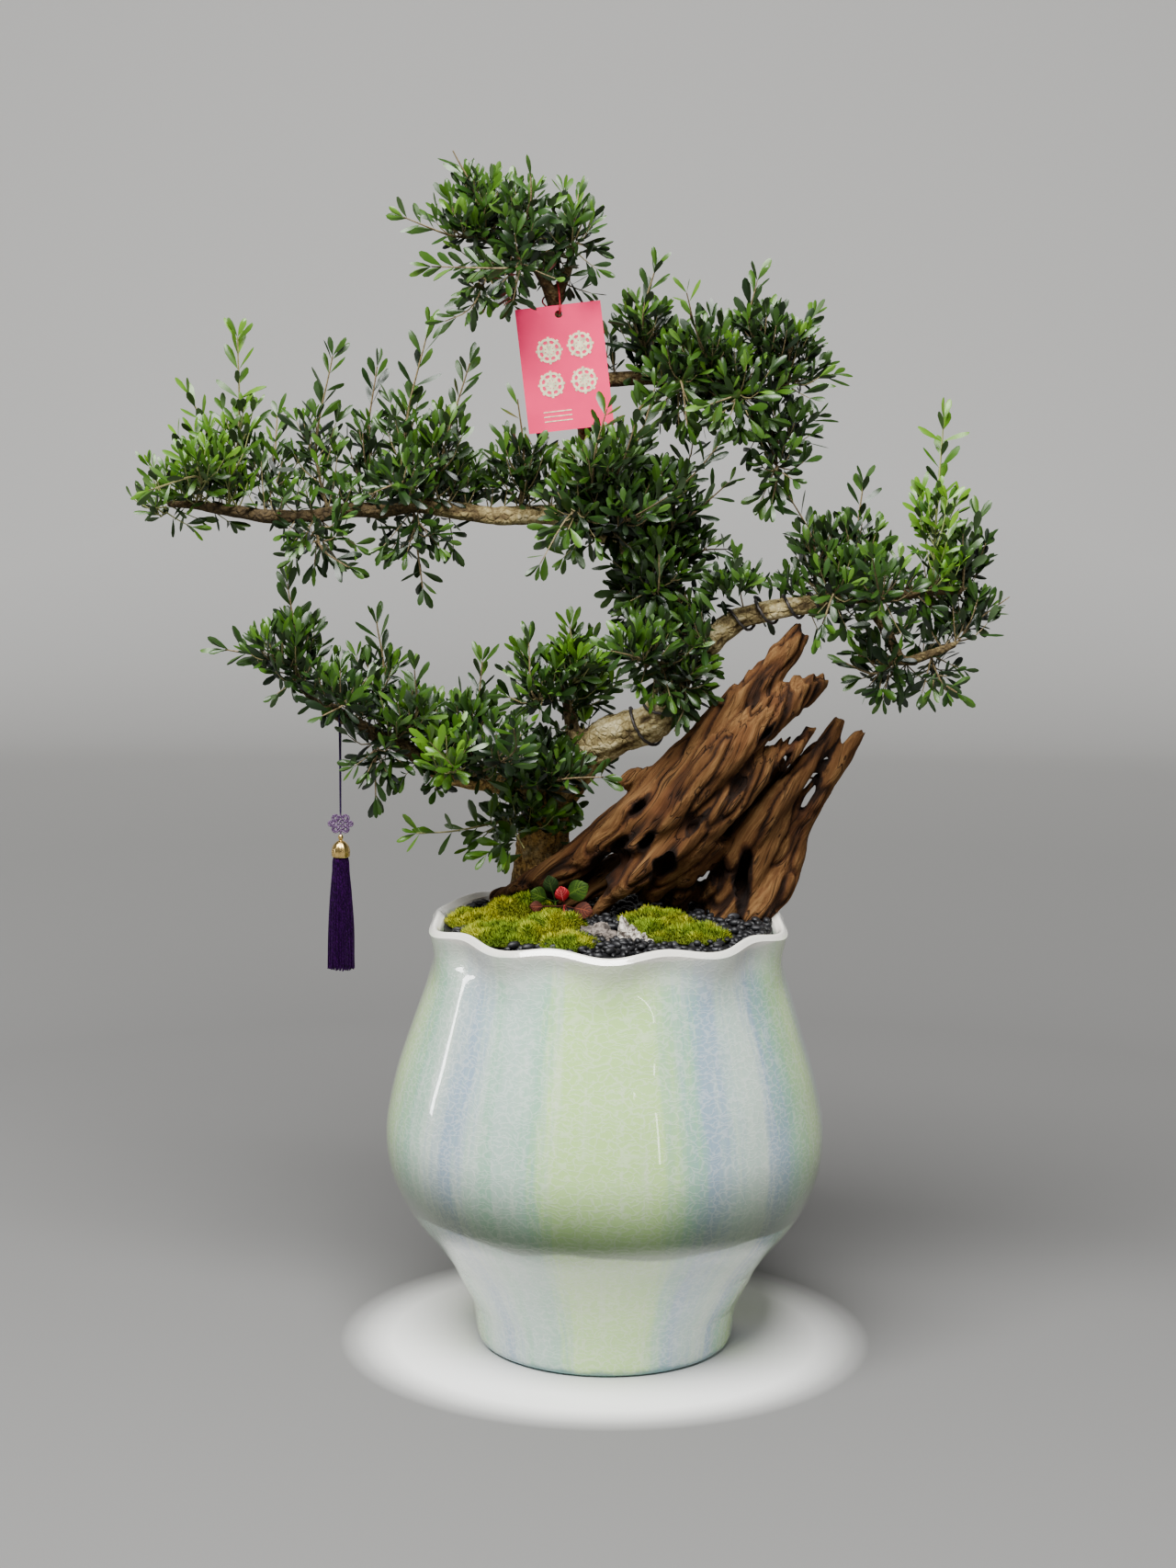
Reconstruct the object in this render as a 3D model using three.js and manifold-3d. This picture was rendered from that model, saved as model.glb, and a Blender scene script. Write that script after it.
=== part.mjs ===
// Potted boxwood bonsai: a twisted boxwood with clouds of leaves, in a glazed vase pot,
// with weathered driftwood, moss, stones, a nerve plant, a greeting tag and a tassel.
// Millimetres, +Z up, origin at the centre of the pot's foot, -Y towards the viewer.
import * as THREE from "three";
import { mergeVertices } from "three/addons/utils/BufferGeometryUtils.js";
import Module from "manifold-3d";

const wasm = await Module();
wasm.setup();

// Driving dimensions
const GAP = 0.35; // air between two pieces that touch
const POT_SEGMENTS = 40;
const POT_WALL_FLOOR = 11;
const SCALLOPS = 10; // waves of the rim
const SCALLOP_OUT = 3.5; // how far a wave of the rim swings out and in
const SCALLOP_DROP = 2.5; // how far it dips where it swings out
const SCALLOP_FROM = 325; // height where the waves begin outside
const SCALLOP_INSIDE_FROM = 350; // and inside
const SCALLOP_FULL = 366; // height where they are full
const LOBES = 5; // soft lobes of the belly
const LOBE_OUT = 1.5;
const LOBE_TURN = 54; // degrees from the front to the top of a lobe
const DRAIN_RADIUS = 11;
const DRAIN_CIRCLE = 52;
const SOIL_TOP = 365;
const GRAVEL_TOP = 374;
const GRAVEL_RINGS = 5;
const GRAVEL_RELIEF = 3.2; // depth between pebbles
const BED_RADIUS = 143.4; // inside of the rim at the gravel, before the waves
const LEAF_LENGTH = 23;
const LEAF_WIDTH = 8.5;
const LEAF_THICKNESS = 1;
const LEAF_PAIRS = 2; // pairs on a shoot, below its end leaf
const LEAFY_LENGTH = 40; // of a shoot, back from its tip
const BARE_LENGTH = 45; // of a twig below its leaves that is kept in one straight
const NODE_HEIGHT = 3; // stretch of a twig that a pair of leaves takes
const TWIG_RADIUS = 1.6;
const FRAMES = 60; // stations at which a twig's turn is known
const ATTEMPTS = 30; // bends tried for a twig that must clear its neighbours
const WIRE_RADIUS = 1.4;
const WIRE_LIFT = 0.2; // by which a wire is lifted off the bark until it is clear all along
const WIRE_STEPS = 8; // steps in a turn
const CORD_RADIUS = 0.8;
const CORD_SIDES = 6;
const CORD_STEP = 4.8; // three diameters
const TAG_SIZE = [72.6, 105, 1.2];
const TAG_CENTRE = [-40.8, 12, 850.9];
const TAG_LEAN = 6.9; // degrees, its head to the left
const TAG_HOLE_RADIUS = 3.2;
const TAG_HOLE_UP = 45; // hole above the middle of the tag

// Outer profile of the pot as radius and height, from its foot to its lip
const POT_OUTSIDE = [
  [106, 0], [111, 3], [117, 37], [129, 63], [148, 91], [170, 119], [186, 151], [191.5, 189],
  [184, 236], [169, 285], [154.5, 333], [152, 356], [155.5, 374],
];
const POT_LIP = [[151, 379], [145.5, 375]];
const POT_INSIDE = [[143, 350], [175, 255], [180, 180], [150, 104], [104, POT_WALL_FLOOR]];

// Limbs of the tree as x, y, z and radius, from the root of each limb to its end
const LIMBS = {
  trunk: [
    [-60, 88, 305, 20], [-60, 88, 345, 25], [-60, 88, 392, 26], [-58, 83, 415, 24], [-57, 75, 440, 22],
    [-50, 65, 470, 20], [-38, 54, 492, 19], [-20, 42, 515, 18], [5, 32, 534, 17], [30, 26, 542, 16],
    [44, 22, 552, 15], [49, 24, 570, 14], [58, 30, 587, 13.5], [70, 35, 600, 13],
  ],
  right: [
    [70, 35, 600, 13], [90, 30, 620, 11], [110, 30, 635, 9.5], [140, 20, 645, 8.5], [165, 15, 650, 8],
    [190, 10, 655, 7.5], [215, 10, 660, 7], [245, 5, 660, 6], [270, 5, 665, 5], [300, 0, 665, 3.5],
  ],
  right_low: [
    [215, 10, 660, 6.5], [230, 5, 640, 5.5], [240, 0, 620, 5], [250, -5, 605, 4.5], [270, -5, 610, 4],
    [295, -5, 620, 3],
  ],
  right_end: [[250, -5, 605, 4.5], [235, -10, 605, 3.5], [210, -10, 610, 2.5]],
  middle: [
    [70, 35, 600, 13], [65, 40, 620, 12], [55, 45, 650, 11], [45, 45, 670, 10.5], [30, 40, 685, 10],
    [5, 30, 705, 10], [-15, 25, 715, 9.5],
  ],
  left: [
    [-15, 25, 715, 9.5], [-45, 20, 725, 8.5], [-75, 15, 725, 8], [-100, 10, 725, 7.5], [-135, 5, 730, 7],
    [-165, 0, 735, 7], [-195, 0, 730, 6.5], [-225, -5, 730, 6.5], [-255, -10, 725, 6],
    [-290, -10, 725, 6], [-325, -10, 730, 5], [-355, -15, 735, 4], [-375, -15, 735, 3],
  ],
  up: [
    [-15, 25, 715, 9.5], [-10, 30, 750, 8.5], [-20, 40, 780, 8], [-25, 40, 810, 7.5], [-40, 40, 840, 6.5],
    [-48, 38, 870, 6], [-50, 35, 900, 5.5], [-57, 32, 920, 5], [-70, 25, 940, 4.5], [-90, 20, 950, 4],
    [-115, 20, 960, 3],
  ],
  up_right: [[-50, 35, 900, 5], [-44, 33, 918, 4.5], [-38, 30, 935, 4], [-35, 30, 950, 3]],
  upper: [
    [-25, 40, 810, 7], [-15, 45, 835, 6.5], [10, 45, 840, 6], [40, 40, 840, 5.5], [75, 40, 830, 5],
    [100, 30, 830, 5], [130, 25, 830, 4], [150, 20, 840, 3],
  ],
  upper_tail: [[100, 30, 830, 4.5], [120, 25, 810, 4], [135, 20, 790, 3.5], [140, 15, 770, 2.5]],
  low: [
    [-50, 65, 470, 12], [-70, 52, 480, 10], [-95, 35, 490, 9], [-120, 20, 495, 8], [-150, 10, 505, 7.5],
    [-175, 0, 525, 7], [-205, -5, 540, 6.5], [-230, -10, 555, 6], [-250, -15, 570, 5], [-270, -20, 590, 4],
  ],
  low_up: [[-20, 42, 515, 10], [-30, 40, 530, 7], [-35, 40, 550, 5], [-40, 35, 575, 3.5]],
  middle_front: [[55, 45, 650, 9], [45, 30, 630, 7], [40, 10, 610, 5], [30, -10, 600, 3.5]],
};

// Strands of the driftwood as x, y, z and radius, from the foot up along the grain
const STRANDS = [
  [[-102, 70, 379, 7], [-92, 62, 383, 9], [-66, 42, 400, 12], [-26, 36, 426, 14], [5, 28, 453, 15],
    [30, 22, 478, 15], [56, 18, 507, 15], [81, 14, 534, 14], [106, 12, 563, 13], [130, 12, 583, 11],
    [152, 16, 610, 9], [167, 20, 627, 6]],
  [[53, 26, 497, 12], [32, 24, 498, 9], [18, 22, 496, 8], [9, 20, 491, 4]],
  [[0, 20, 405, 8], [30, 5, 450, 15], [65, 0, 485, 20], [100, -5, 525, 20], [135, 0, 555, 17],
    [165, 10, 575, 13], [185, 15, 586, 6]],
  [[35, 30, 390, 9], [65, 10, 440, 16], [100, 0, 480, 18], [130, 5, 510, 15], [155, 10, 525, 10],
    [175, 20, 542, 4]],
  [[85, 50, 370, 10], [110, 25, 430, 15], [135, 20, 465, 15], [155, 20, 490, 11], [175, 25, 515, 8],
    [195, 30, 535, 7], [200, 30, 547, 4]],
  [[122, 22, 369, 12], [134, 26, 385, 14], [146, 34, 402, 18], [155, 40, 422, 16], [165, 38, 454, 12],
    [180, 32, 480, 9], [195, 30, 505, 7.5], [210, 26, 525, 6], [222, 25, 541, 2.5]],
  [[98, 30, 369, 13], [118, 30, 405, 17], [136, 30, 440, 16], [152, 30, 468, 11], [165, 32, 486, 6]],
  [[-45, 46, 379, 6], [-20, 50, 392, 10], [10, 52, 405, 13], [45, 50, 418, 14]],
  [[-73, 46, 388, 7], [-46, 38, 404, 9], [-14, 22, 432, 12], [22, 10, 467, 14], [61, 6, 497, 14]],
  [[-13, 26, 367, 6], [0, 20, 390, 8], [20, 5, 410, 11], [50, 0, 435, 14], [80, 5, 465, 15]],
  [[60, 58, 367, 9], [60, 40, 390, 12], [70, 25, 415, 14], [90, 10, 450, 15]],
  [[104, 74, 367, 9], [108, 58, 400, 12], [115, 40, 430, 13], [125, 25, 465, 13]],
  [[25, 45, 390, 8], [60, 42, 392, 9], [95, 55, 392, 9], [128, 42, 394, 9]],
  [[25, 60, 430, 16], [70, 50, 480, 20], [120, 42, 530, 18], [145, 35, 565, 12]],
  [[65, 75, 405, 14], [110, 60, 455, 20], [150, 50, 505, 14]],
  [[30, 15, 460, 20], [75, 10, 505, 24], [118, 10, 545, 19], [140, 15, 572, 12]],
];

// Leafy sprays: the limb each grows from, and its tufts as the middle and the furthest tip
const SPRAYS = [
  ["spray_top_left", "up", [[-135, -10, 960], [-175, -20, 975]], [[-120, -20, 900], [-140, -30, 890]]],
  ["spray_top_crown", "up", [[-115, 10, 990], [-135, 0, 1030]], [[-100, 60, 970], [-85, 90, 1000]]],
  ["spray_top_front", "up", [[-70, -20, 985], [-70, -30, 1020]], [[-80, -40, 935], [-150, -60, 935]]],
  ["spray_top_right", "up_right", [[-35, 0, 955], [-30, 10, 995]], [[-55, 50, 960], [-15, 60, 950]]],
  ["spray_upper_inner", "upper", [[25, 0, 895], [35, -10, 935]], [[45, 60, 850], [25, 80, 880]]],
  ["spray_upper_front", "upper", [[70, -30, 880], [60, -50, 915]], [[100, -40, 830], [80, -70, 825]]],
  ["spray_upper_crown", "upper", [[115, 0, 890], [120, -10, 925]]],
  ["spray_upper_end", "upper", [[150, 20, 865], [170, 30, 895]], [[165, 40, 840], [190, 55, 845]]],
  ["spray_upper_tail", "upper_tail", [[145, 10, 790], [175, 30, 810]], [[140, -10, 765], [135, -20, 740]]],
  ["spray_middle_left", "left", [[-75, 0, 780], [-80, -10, 825]], [[-10, 60, 745], [-35, 80, 765]]],
  ["spray_middle_front", "middle", [[-15, -45, 780], [-5, -60, 820]], [[-35, -30, 730], [-60, -50, 690]]],
  ["spray_middle_crown", "middle", [[25, -10, 800], [35, -20, 835]], [[65, 30, 770], [70, 50, 790]]],
  ["spray_middle_right", "middle", [[25, -60, 735], [45, -90, 750]], [[70, 0, 730], [100, 10, 755]],
    [[75, 20, 695], [100, 40, 695]]],
  ["spray_left_end", "left", [[-380, -10, 725], [-410, -20, 740]], [[-345, -40, 760], [-385, -60, 750]]],
  ["spray_left_tall", "left", [[-345, 20, 790], [-360, 20, 825]], [[-315, -10, 795], [-315, -10, 875]]],
  ["spray_left_third", "left", [[-250, -10, 780], [-235, -15, 860]], [[-290, 40, 770], [-290, 70, 805]]],
  ["spray_left_fourth", "left", [[-210, 20, 780], [-200, 20, 850]], [[-180, -50, 755], [-200, -85, 750]]],
  ["spray_left_fifth", "left", [[-175, 0, 795], [-155, 0, 885]]],
  ["spray_left_sixth", "left", [[-140, -10, 790], [-120, -15, 855]], [[-125, 40, 740], [-110, 70, 745]]],
  ["spray_left_under", "left", [[-245, -25, 700], [-220, -40, 685]]],
  ["spray_left_drop", "left", [[-165, -5, 700], [-160, -10, 665]]],
  ["spray_low_end", "low", [[-285, -30, 605], [-325, -40, 615]], [[-260, -10, 605], [-275, -10, 670]]],
  ["spray_low_under", "low", [[-200, -20, 525], [-200, -20, 485]], [[-225, -50, 570], [-240, -80, 565]]],
  ["spray_low_third", "low", [[-195, 0, 585], [-200, 0, 635]], [[-165, -30, 560], [-165, -50, 600]]],
  ["spray_low_fourth", "low", [[-115, 10, 555], [-110, 10, 600]], [[-155, 40, 540], [-130, 80, 555]]],
  ["spray_low_front", "low", [[-130, -55, 515], [-150, -90, 545]]],
  ["spray_low_inner", "low", [[-80, -70, 535], [-80, -110, 560]], [[-35, 0, 500], [-5, -20, 505]]],
  ["spray_low_rise", "low_up", [[-65, 0, 570], [-70, -5, 620]]],
  ["spray_low_right", "low_up", [[-30, 20, 585], [-35, 20, 630]], [[-20, 60, 560], [-15, 80, 610]]],
  ["spray_trunk_base", "trunk", [[-135, -10, 455], [-165, -20, 455]], [[-95, 0, 440], [-105, -10, 435]]],
  ["spray_fork_left", "middle", [[40, -20, 665], [40, -25, 705]], [[20, 60, 645], [10, 80, 670]]],
  ["spray_fork_front", "middle_front", [[25, -40, 610], [0, -70, 620]], [[65, 0, 575], [55, -20, 545]]],
  ["spray_fork_right", "right", [[80, -30, 620], [105, -60, 635]], [[100, 0, 660], [105, 0, 690]]],
  ["spray_right_first", "right", [[170, 0, 710], [150, 0, 745]], [[185, 50, 675], [215, 80, 690]]],
  ["spray_right_second", "right", [[210, 10, 710], [215, 20, 755]], [[185, -50, 665], [175, -80, 645]]],
  ["spray_right_front", "right", [[225, -50, 665], [215, -85, 700]]],
  ["spray_right_tall", "right", [[275, 0, 700], [280, 0, 810]]],
  ["spray_right_back", "right", [[305, 20, 680], [315, 30, 725]], [[280, 50, 640], [265, 85, 660]]],
  ["spray_right_low", "right_low", [[310, 10, 635], [340, 0, 660]], [[280, 0, 590], [295, -20, 580]],
    [[225, -15, 595], [200, -25, 605]]],
];

// Moss cushions, stones and their like as x, y, half width, half depth and height
const MOSS_LEFT = [
  [-112, -8, 28, 30, 10], [-78, 20, 32, 28, 18], [-84, -62, 42, 40, 10], [-45, -28, 28, 34, 14],
  [-34, -92, 24, 28, 8],
];
const MOSS_RIGHT = [[32, -8, 22, 24, 13], [42, -52, 26, 32, 11], [76, -62, 28, 26, 9], [56, -20, 22, 24, 11]];
const STONE_FLAT = [-10, -50, 19, 17, 9];
const STONE_UPRIGHT = [19, -72, 14, 11, 27];

// Nerve plant: foot of the stem, then each leaf as its middle and its half length
const NERVE_RISE = 19; // height of a stem above the gravel
const NERVE_GREEN = { foot: [-46, 2], leaves: [[-60, -8, 399, 9], [-50, 0, 407, 8], [-27, -6, 402, 12]] };
const NERVE_RED = { foot: [-38, -14], leaves: [[-40, -18, 402, 8], [-22, -22, 389, 9]] };

// Routes of the two cords, point by point
const TASSEL_ROUTE = [
  [-231, -11.1, 470.6], [-231, -11.2, 480], [-231, -12, 500], [-231, -14, 525], [-231, -17.3, 545],
  [-231, -18, 556], [-231, -15.5, 562.5], [-231, -10, 564.5], [-231, -4.5, 562.5], [-231, -2, 556],
  [-231, -2.7, 545], [-231, -6, 525], [-231, -8, 500], [-231, -8.8, 480], [-231, -8.9, 470.6],
];
const TAG_THREAD_ROUTE = [
  [-49, 41.5, 914], [-48, 38, 920], [-48.2, 32, 922], [-46.8, 26, 919], [-45.6, 17, 911],
  [-45, 9.5, 903], [-45, 8.5, 898.5], [-45.2, 10.5, 896], [-45.6, 14, 896], [-50, 18, 898],
  [-56, 24, 901], [-60, 31, 905], [-58.5, 38.5, 909], [-53, 42, 912],
];
const CHARM = { x: -231, y: -10, top: 470, bottom: 452, loop: 3.6, cord: 1.1 };
const CAP_PROFILE = [
  [0, 432.3], [7.6, 432.3], [7.8, 435], [7, 439], [4, 443], [1.6, 445], [2.6, 447], [2.6, 449.5], [1, 451.6],
  [0, 451.6],
];
const SKIRT = { top: 432, bottom: 333, topRadius: 6, neckRadius: 7.2, bottomRadius: 12, ribs: 12, relief: 0.8 };

// Seeded draws, so that the tree is the same each time
function makeDraw(seed) {
  let state = seed;
  return () => {
    state = (state + 0x6d2b79f5) | 0;
    let mixed = Math.imul(state ^ (state >>> 15), 1 | state);
    mixed = (mixed + Math.imul(mixed ^ (mixed >>> 7), 61 | mixed)) ^ mixed;
    return ((mixed ^ (mixed >>> 14)) >>> 0) / 4294967296;
  };
}

const toVector = ([x, y, z]) => new THREE.Vector3(x, y, z);
const toRadians = (degrees) => (degrees * Math.PI) / 180;

// A closed geometry as a solid that can be joined and cut
function solidOf(geometry) {
  const bare = new THREE.BufferGeometry();
  bare.setAttribute("position", geometry.getAttribute("position"));
  bare.setIndex(geometry.index);
  const merged = mergeVertices(bare, 1e-3);
  const corners = merged.index.array;
  const kept = [];
  for (let i = 0; i < corners.length; i += 3) {
    const [a, b, c] = [corners[i], corners[i + 1], corners[i + 2]];
    if (a !== b && b !== c && c !== a) kept.push(a, b, c);
  }
  const vertProperties = merged.attributes.position.array;
  return new wasm.Manifold(new wasm.Mesh({ numProp: 3, vertProperties, triVerts: new Uint32Array(kept) }));
}

function join(solids) {
  return solids.reduce((whole, next) => whole.add(next));
}

// The largest body of a solid that a cut may have left in several
function largest(solid) {
  return solid.decompose().reduce((best, next) => (next.volume() > best.volume() ? next : best));
}

function geometryOf(solid) {
  const { vertProperties, triVerts, numProp } = solid.getMesh();
  const positions = new Float32Array((vertProperties.length / numProp) * 3);
  for (let i = 0; i < positions.length / 3; i++) {
    positions.set(vertProperties.subarray(i * numProp, i * numProp + 3), i * 3);
  }
  const geometry = new THREE.BufferGeometry();
  geometry.setAttribute("position", new THREE.BufferAttribute(positions, 3));
  geometry.setIndex(new THREE.BufferAttribute(triVerts, 1));
  geometry.computeVertexNormals();
  return geometry;
}

const bonsai = new THREE.Group();

function addPiece(name, solid, color, roughness, metalness = 0) {
  const material = new THREE.MeshStandardMaterial({ color, roughness, metalness });
  const mesh = new THREE.Mesh(geometryOf(solid), material);
  mesh.name = name;
  bonsai.add(mesh);
  return mesh;
}

// Share of the rim's waves at a radius and height: they reach further down outside than inside
function scallopShare(radius, height) {
  const from = radius > BED_RADIUS + 1 ? SCALLOP_FROM : SCALLOP_INSIDE_FROM;
  return THREE.MathUtils.smoothstep(height, from, SCALLOP_FULL);
}

// A turned shape about the upright axis, with the rim's waves and the belly's lobes pressed in
function turned(profile, segments = POT_SEGMENTS) {
  const points = profile.map(([radius, height]) => new THREE.Vector2(radius, height));
  const geometry = new THREE.LatheGeometry(points, segments).rotateX(Math.PI / 2);
  const place = geometry.getAttribute("position");
  for (let i = 0; i < place.count; i++) {
    const [x, y, z] = [place.getX(i), place.getY(i), place.getZ(i)];
    const radius = Math.hypot(x, y);
    if (radius < 1) continue;
    const angle = Math.atan2(x, -y);
    const wave = Math.cos(SCALLOPS * angle) * scallopShare(radius, z);
    const belly = THREE.MathUtils.smoothstep(z, 20, 120) * (1 - THREE.MathUtils.smoothstep(z, 260, 330));
    const lobe = Math.cos(LOBES * (angle - toRadians(LOBE_TURN))) * belly;
    const grown = (radius + SCALLOP_OUT * wave + LOBE_OUT * lobe) / radius;
    const drop = radius > BED_RADIUS + 1 ? SCALLOP_DROP * wave : 0;
    place.setXYZ(i, x * grown, y * grown, z - drop);
  }
  return solidOf(geometry);
}

// A tapered limb along a smooth line through its stops, its section shaped by an optional rule
function limb(stops, { sides = 6, step = 16, extra = 0, shape = () => 1 } = {}) {
  const line = new THREE.CatmullRomCurve3(stops.map(toVector), false, "centripetal");
  const steps = Math.max(2, Math.round(line.getLength() / step));
  const frames = line.computeFrenetFrames(steps, false);
  const geometry = new THREE.CylinderGeometry(1, 1, 1, sides, steps);
  const place = geometry.getAttribute("position");
  for (let i = 0; i < place.count; i++) {
    const along = 0.5 - place.getY(i);
    const ring = Math.round(along * steps);
    const stop = line.getUtoTmapping(along) * (stops.length - 1);
    const before = Math.min(Math.floor(stop), stops.length - 2);
    const radius = THREE.MathUtils.lerp(stops[before][3], stops[before + 1][3], stop - before) + extra;
    const [across, up] = [place.getX(i), place.getZ(i)];
    const reach = radius * shape(Math.atan2(up, across), along);
    const point = line.getPointAt(along);
    point.addScaledVector(frames.normals[ring], across * reach);
    point.addScaledVector(frames.binormals[ring], up * reach);
    if (ring === 0) point.addScaledVector(frames.tangents[ring], -extra);
    if (ring === steps) point.addScaledVector(frames.tangents[ring], extra);
    place.setXYZ(i, point.x, point.y, point.z);
  }
  return solidOf(geometry);
}

function box(width, depth, height, x, y, z) {
  return solidOf(new THREE.BoxGeometry(width, depth, height).translate(x, y, z));
}

function cylinder(radius, height, x, y, z, sides = 16) {
  const geometry = new THREE.CylinderGeometry(radius, radius, height, sides).rotateX(Math.PI / 2);
  return solidOf(geometry.translate(x, y, z));
}

// Pot, with three drain holes in its floor
function makePot() {
  const profile = [[0, 0], ...POT_OUTSIDE, ...POT_LIP, ...POT_INSIDE, [0, POT_WALL_FLOOR]];
  const drains = [30, 150, 270].map((turn) => {
    const [x, y] = [DRAIN_CIRCLE * Math.cos(toRadians(turn)), DRAIN_CIRCLE * Math.sin(toRadians(turn))];
    return cylinder(DRAIN_RADIUS, 4 * POT_WALL_FLOOR, x, y, 0, 12);
  });
  return turned(profile).subtract(join(drains));
}

// Soil that fills the pot below the gravel
function makeSoil(holes) {
  const wall = POT_INSIDE.map(([radius, height]) => [radius - 1, height]).reverse();
  wall[0][1] += GAP;
  const profile = [[0, POT_WALL_FLOOR + GAP], ...wall, [BED_RADIUS - 5.5, SOIL_TOP], [0, SOIL_TOP]];
  return turned(profile, POT_SEGMENTS / 2).subtract(holes);
}

// Gravel bed whose top is pressed into pebbles
function makeGravel(holes) {
  const draw = makeDraw(11);
  const rim = BED_RADIUS - 0.4;
  const rings = [];
  for (let i = 0; i <= GRAVEL_RINGS; i++) {
    rings.push([rim * Math.sqrt(1 - i / GRAVEL_RINGS), GRAVEL_TOP]);
  }
  const base = SOIL_TOP + GAP;
  const outline = [[0, base], [rim, base], ...rings];
  const points = outline.map(([radius, height]) => new THREE.Vector2(radius, height));
  const geometry = new THREE.LatheGeometry(points, POT_SEGMENTS).rotateX(Math.PI / 2);
  const place = geometry.getAttribute("position");
  const heights = new Map();
  for (let i = 0; i < place.count; i++) {
    const [x, y, z] = [place.getX(i), place.getY(i), place.getZ(i)];
    const radius = Math.hypot(x, y);
    const wave = SCALLOP_OUT * Math.cos(SCALLOPS * Math.atan2(x, -y)) * (radius / rim) ** 4;
    const grown = radius > 1 ? (radius + wave) / radius : 1;
    const spot = `${Math.round(x)},${Math.round(y)}`;
    if (!heights.has(spot)) heights.set(spot, GRAVEL_RELIEF * Math.max(0, draw() - 0.35));
    const dip = z > SOIL_TOP + 2 ? heights.get(spot) : 0;
    place.setXYZ(i, x * grown, y * grown, z - dip);
  }
  return solidOf(geometry).subtract(holes);
}

// The room above the gravel and inside the rim, which moss and stones keep to
function makeBed() {
  const [low, high] = [GRAVEL_TOP + GAP, GRAVEL_TOP + 80];
  return turned([[0, low], [BED_RADIUS - 1.2, low], [BED_RADIUS - 1.2, high], [0, high]]);
}

// A moss cushion: low domes run together, their tops in small tufts
function makeMoss(domes) {
  return join(domes.map(([x, y, wide, deep, height], index) => {
    const geometry = new THREE.SphereGeometry(1, 8, 5).rotateX(Math.PI / 2);
    const place = geometry.getAttribute("position");
    for (let i = 0; i < place.count; i++) {
      const [px, py, pz] = [place.getX(i), place.getY(i), place.getZ(i)];
      const tuft = 1 + 0.08 * Math.sin(9 * px + 2 * index) * Math.cos(8 * py + index);
      place.setXYZ(i, x + px * wide * tuft, y + py * deep * tuft, GRAVEL_TOP + pz * height * tuft);
    }
    return solidOf(geometry);
  }));
}

// A rough stone, its faces broken by seeded draws
function makeStone([x, y, wide, deep, height], seed, detail = 1) {
  const draw = makeDraw(seed);
  const round = new THREE.IcosahedronGeometry(1, detail).deleteAttribute("normal").deleteAttribute("uv");
  const geometry = mergeVertices(round);
  const place = geometry.getAttribute("position");
  for (let i = 0; i < place.count; i++) {
    const rough = 0.78 + 0.4 * draw();
    const [px, py, pz] = [place.getX(i) * rough, place.getY(i) * rough, place.getZ(i) * rough];
    place.setXYZ(i, x + px * wide, y + py * deep, GRAVEL_TOP + pz * height);
  }
  return solidOf(geometry);
}

// Driftwood: strands along the grain grown together, each with ridges along it
function makeDriftwood(extra = 0) {
  const strands = STRANDS.map((stops, index) => {
    const ridges = (angle, along) => 1 + 0.13 * Math.cos(3 * angle + index + 2.5 * along);
    return limb(stops, { sides: 6, step: 50, extra, shape: ridges });
  });
  const below = box(600, 600, 200, 0, 0, GRAVEL_TOP + GAP - extra - 100);
  return largest(join(strands).subtract(below));
}

function makeTree(extra = 0) {
  const limbs = Object.entries(LIMBS).map(([name, stops]) => {
    const thick = name === "trunk";
    return limb(stops, { sides: thick ? 8 : 5, step: thick ? 22 : 24, extra });
  });
  return join(limbs);
}

function ball(centre, radius) {
  return solidOf(new THREE.OctahedronGeometry(radius, 1).translate(centre.x, centre.y, centre.z));
}

// Training wire wound round a stretch of a limb, each point of it moved out until it is clear of the bark
function coil(stops, from, to, turns, bark, lift) {
  const line = new THREE.CatmullRomCurve3(stops.map(toVector), false, "centripetal");
  const coilSteps = Math.round(turns * WIRE_STEPS);
  const frames = line.computeFrenetFrames(200, false);
  const points = [];
  for (let i = 0; i <= coilSteps; i++) {
    const along = from + ((to - from) * i) / coilSteps;
    const turn = (2 * Math.PI * turns * i) / coilSteps;
    const frame = Math.round(along * 200);
    const outward = frames.normals[frame].clone().multiplyScalar(Math.cos(turn))
      .addScaledVector(frames.binormals[frame], Math.sin(turn));
    const point = line.getPointAt(along).addScaledVector(outward, stops[0][3] / 2);
    while (!isClear(ball(point, WIRE_RADIUS + lift), [bark])) point.addScaledVector(outward, 0.3);
    points.push([point.x, point.y, point.z, WIRE_RADIUS]);
  }
  const route = new THREE.CatmullRomCurve3(points.map(toVector), false, "centripetal");
  return limb(points, { sides: 4, step: route.getLength() / coilSteps });
}

function makeWire(stops, from, to, turns, bark) {
  let lift = 0;
  let wire = coil(stops, from, to, turns, bark, lift);
  while (!isClear(wire, [bark])) {
    lift += WIRE_LIFT;
    wire = coil(stops, from, to, turns, bark, lift);
  }
  return wire;
}

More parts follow.
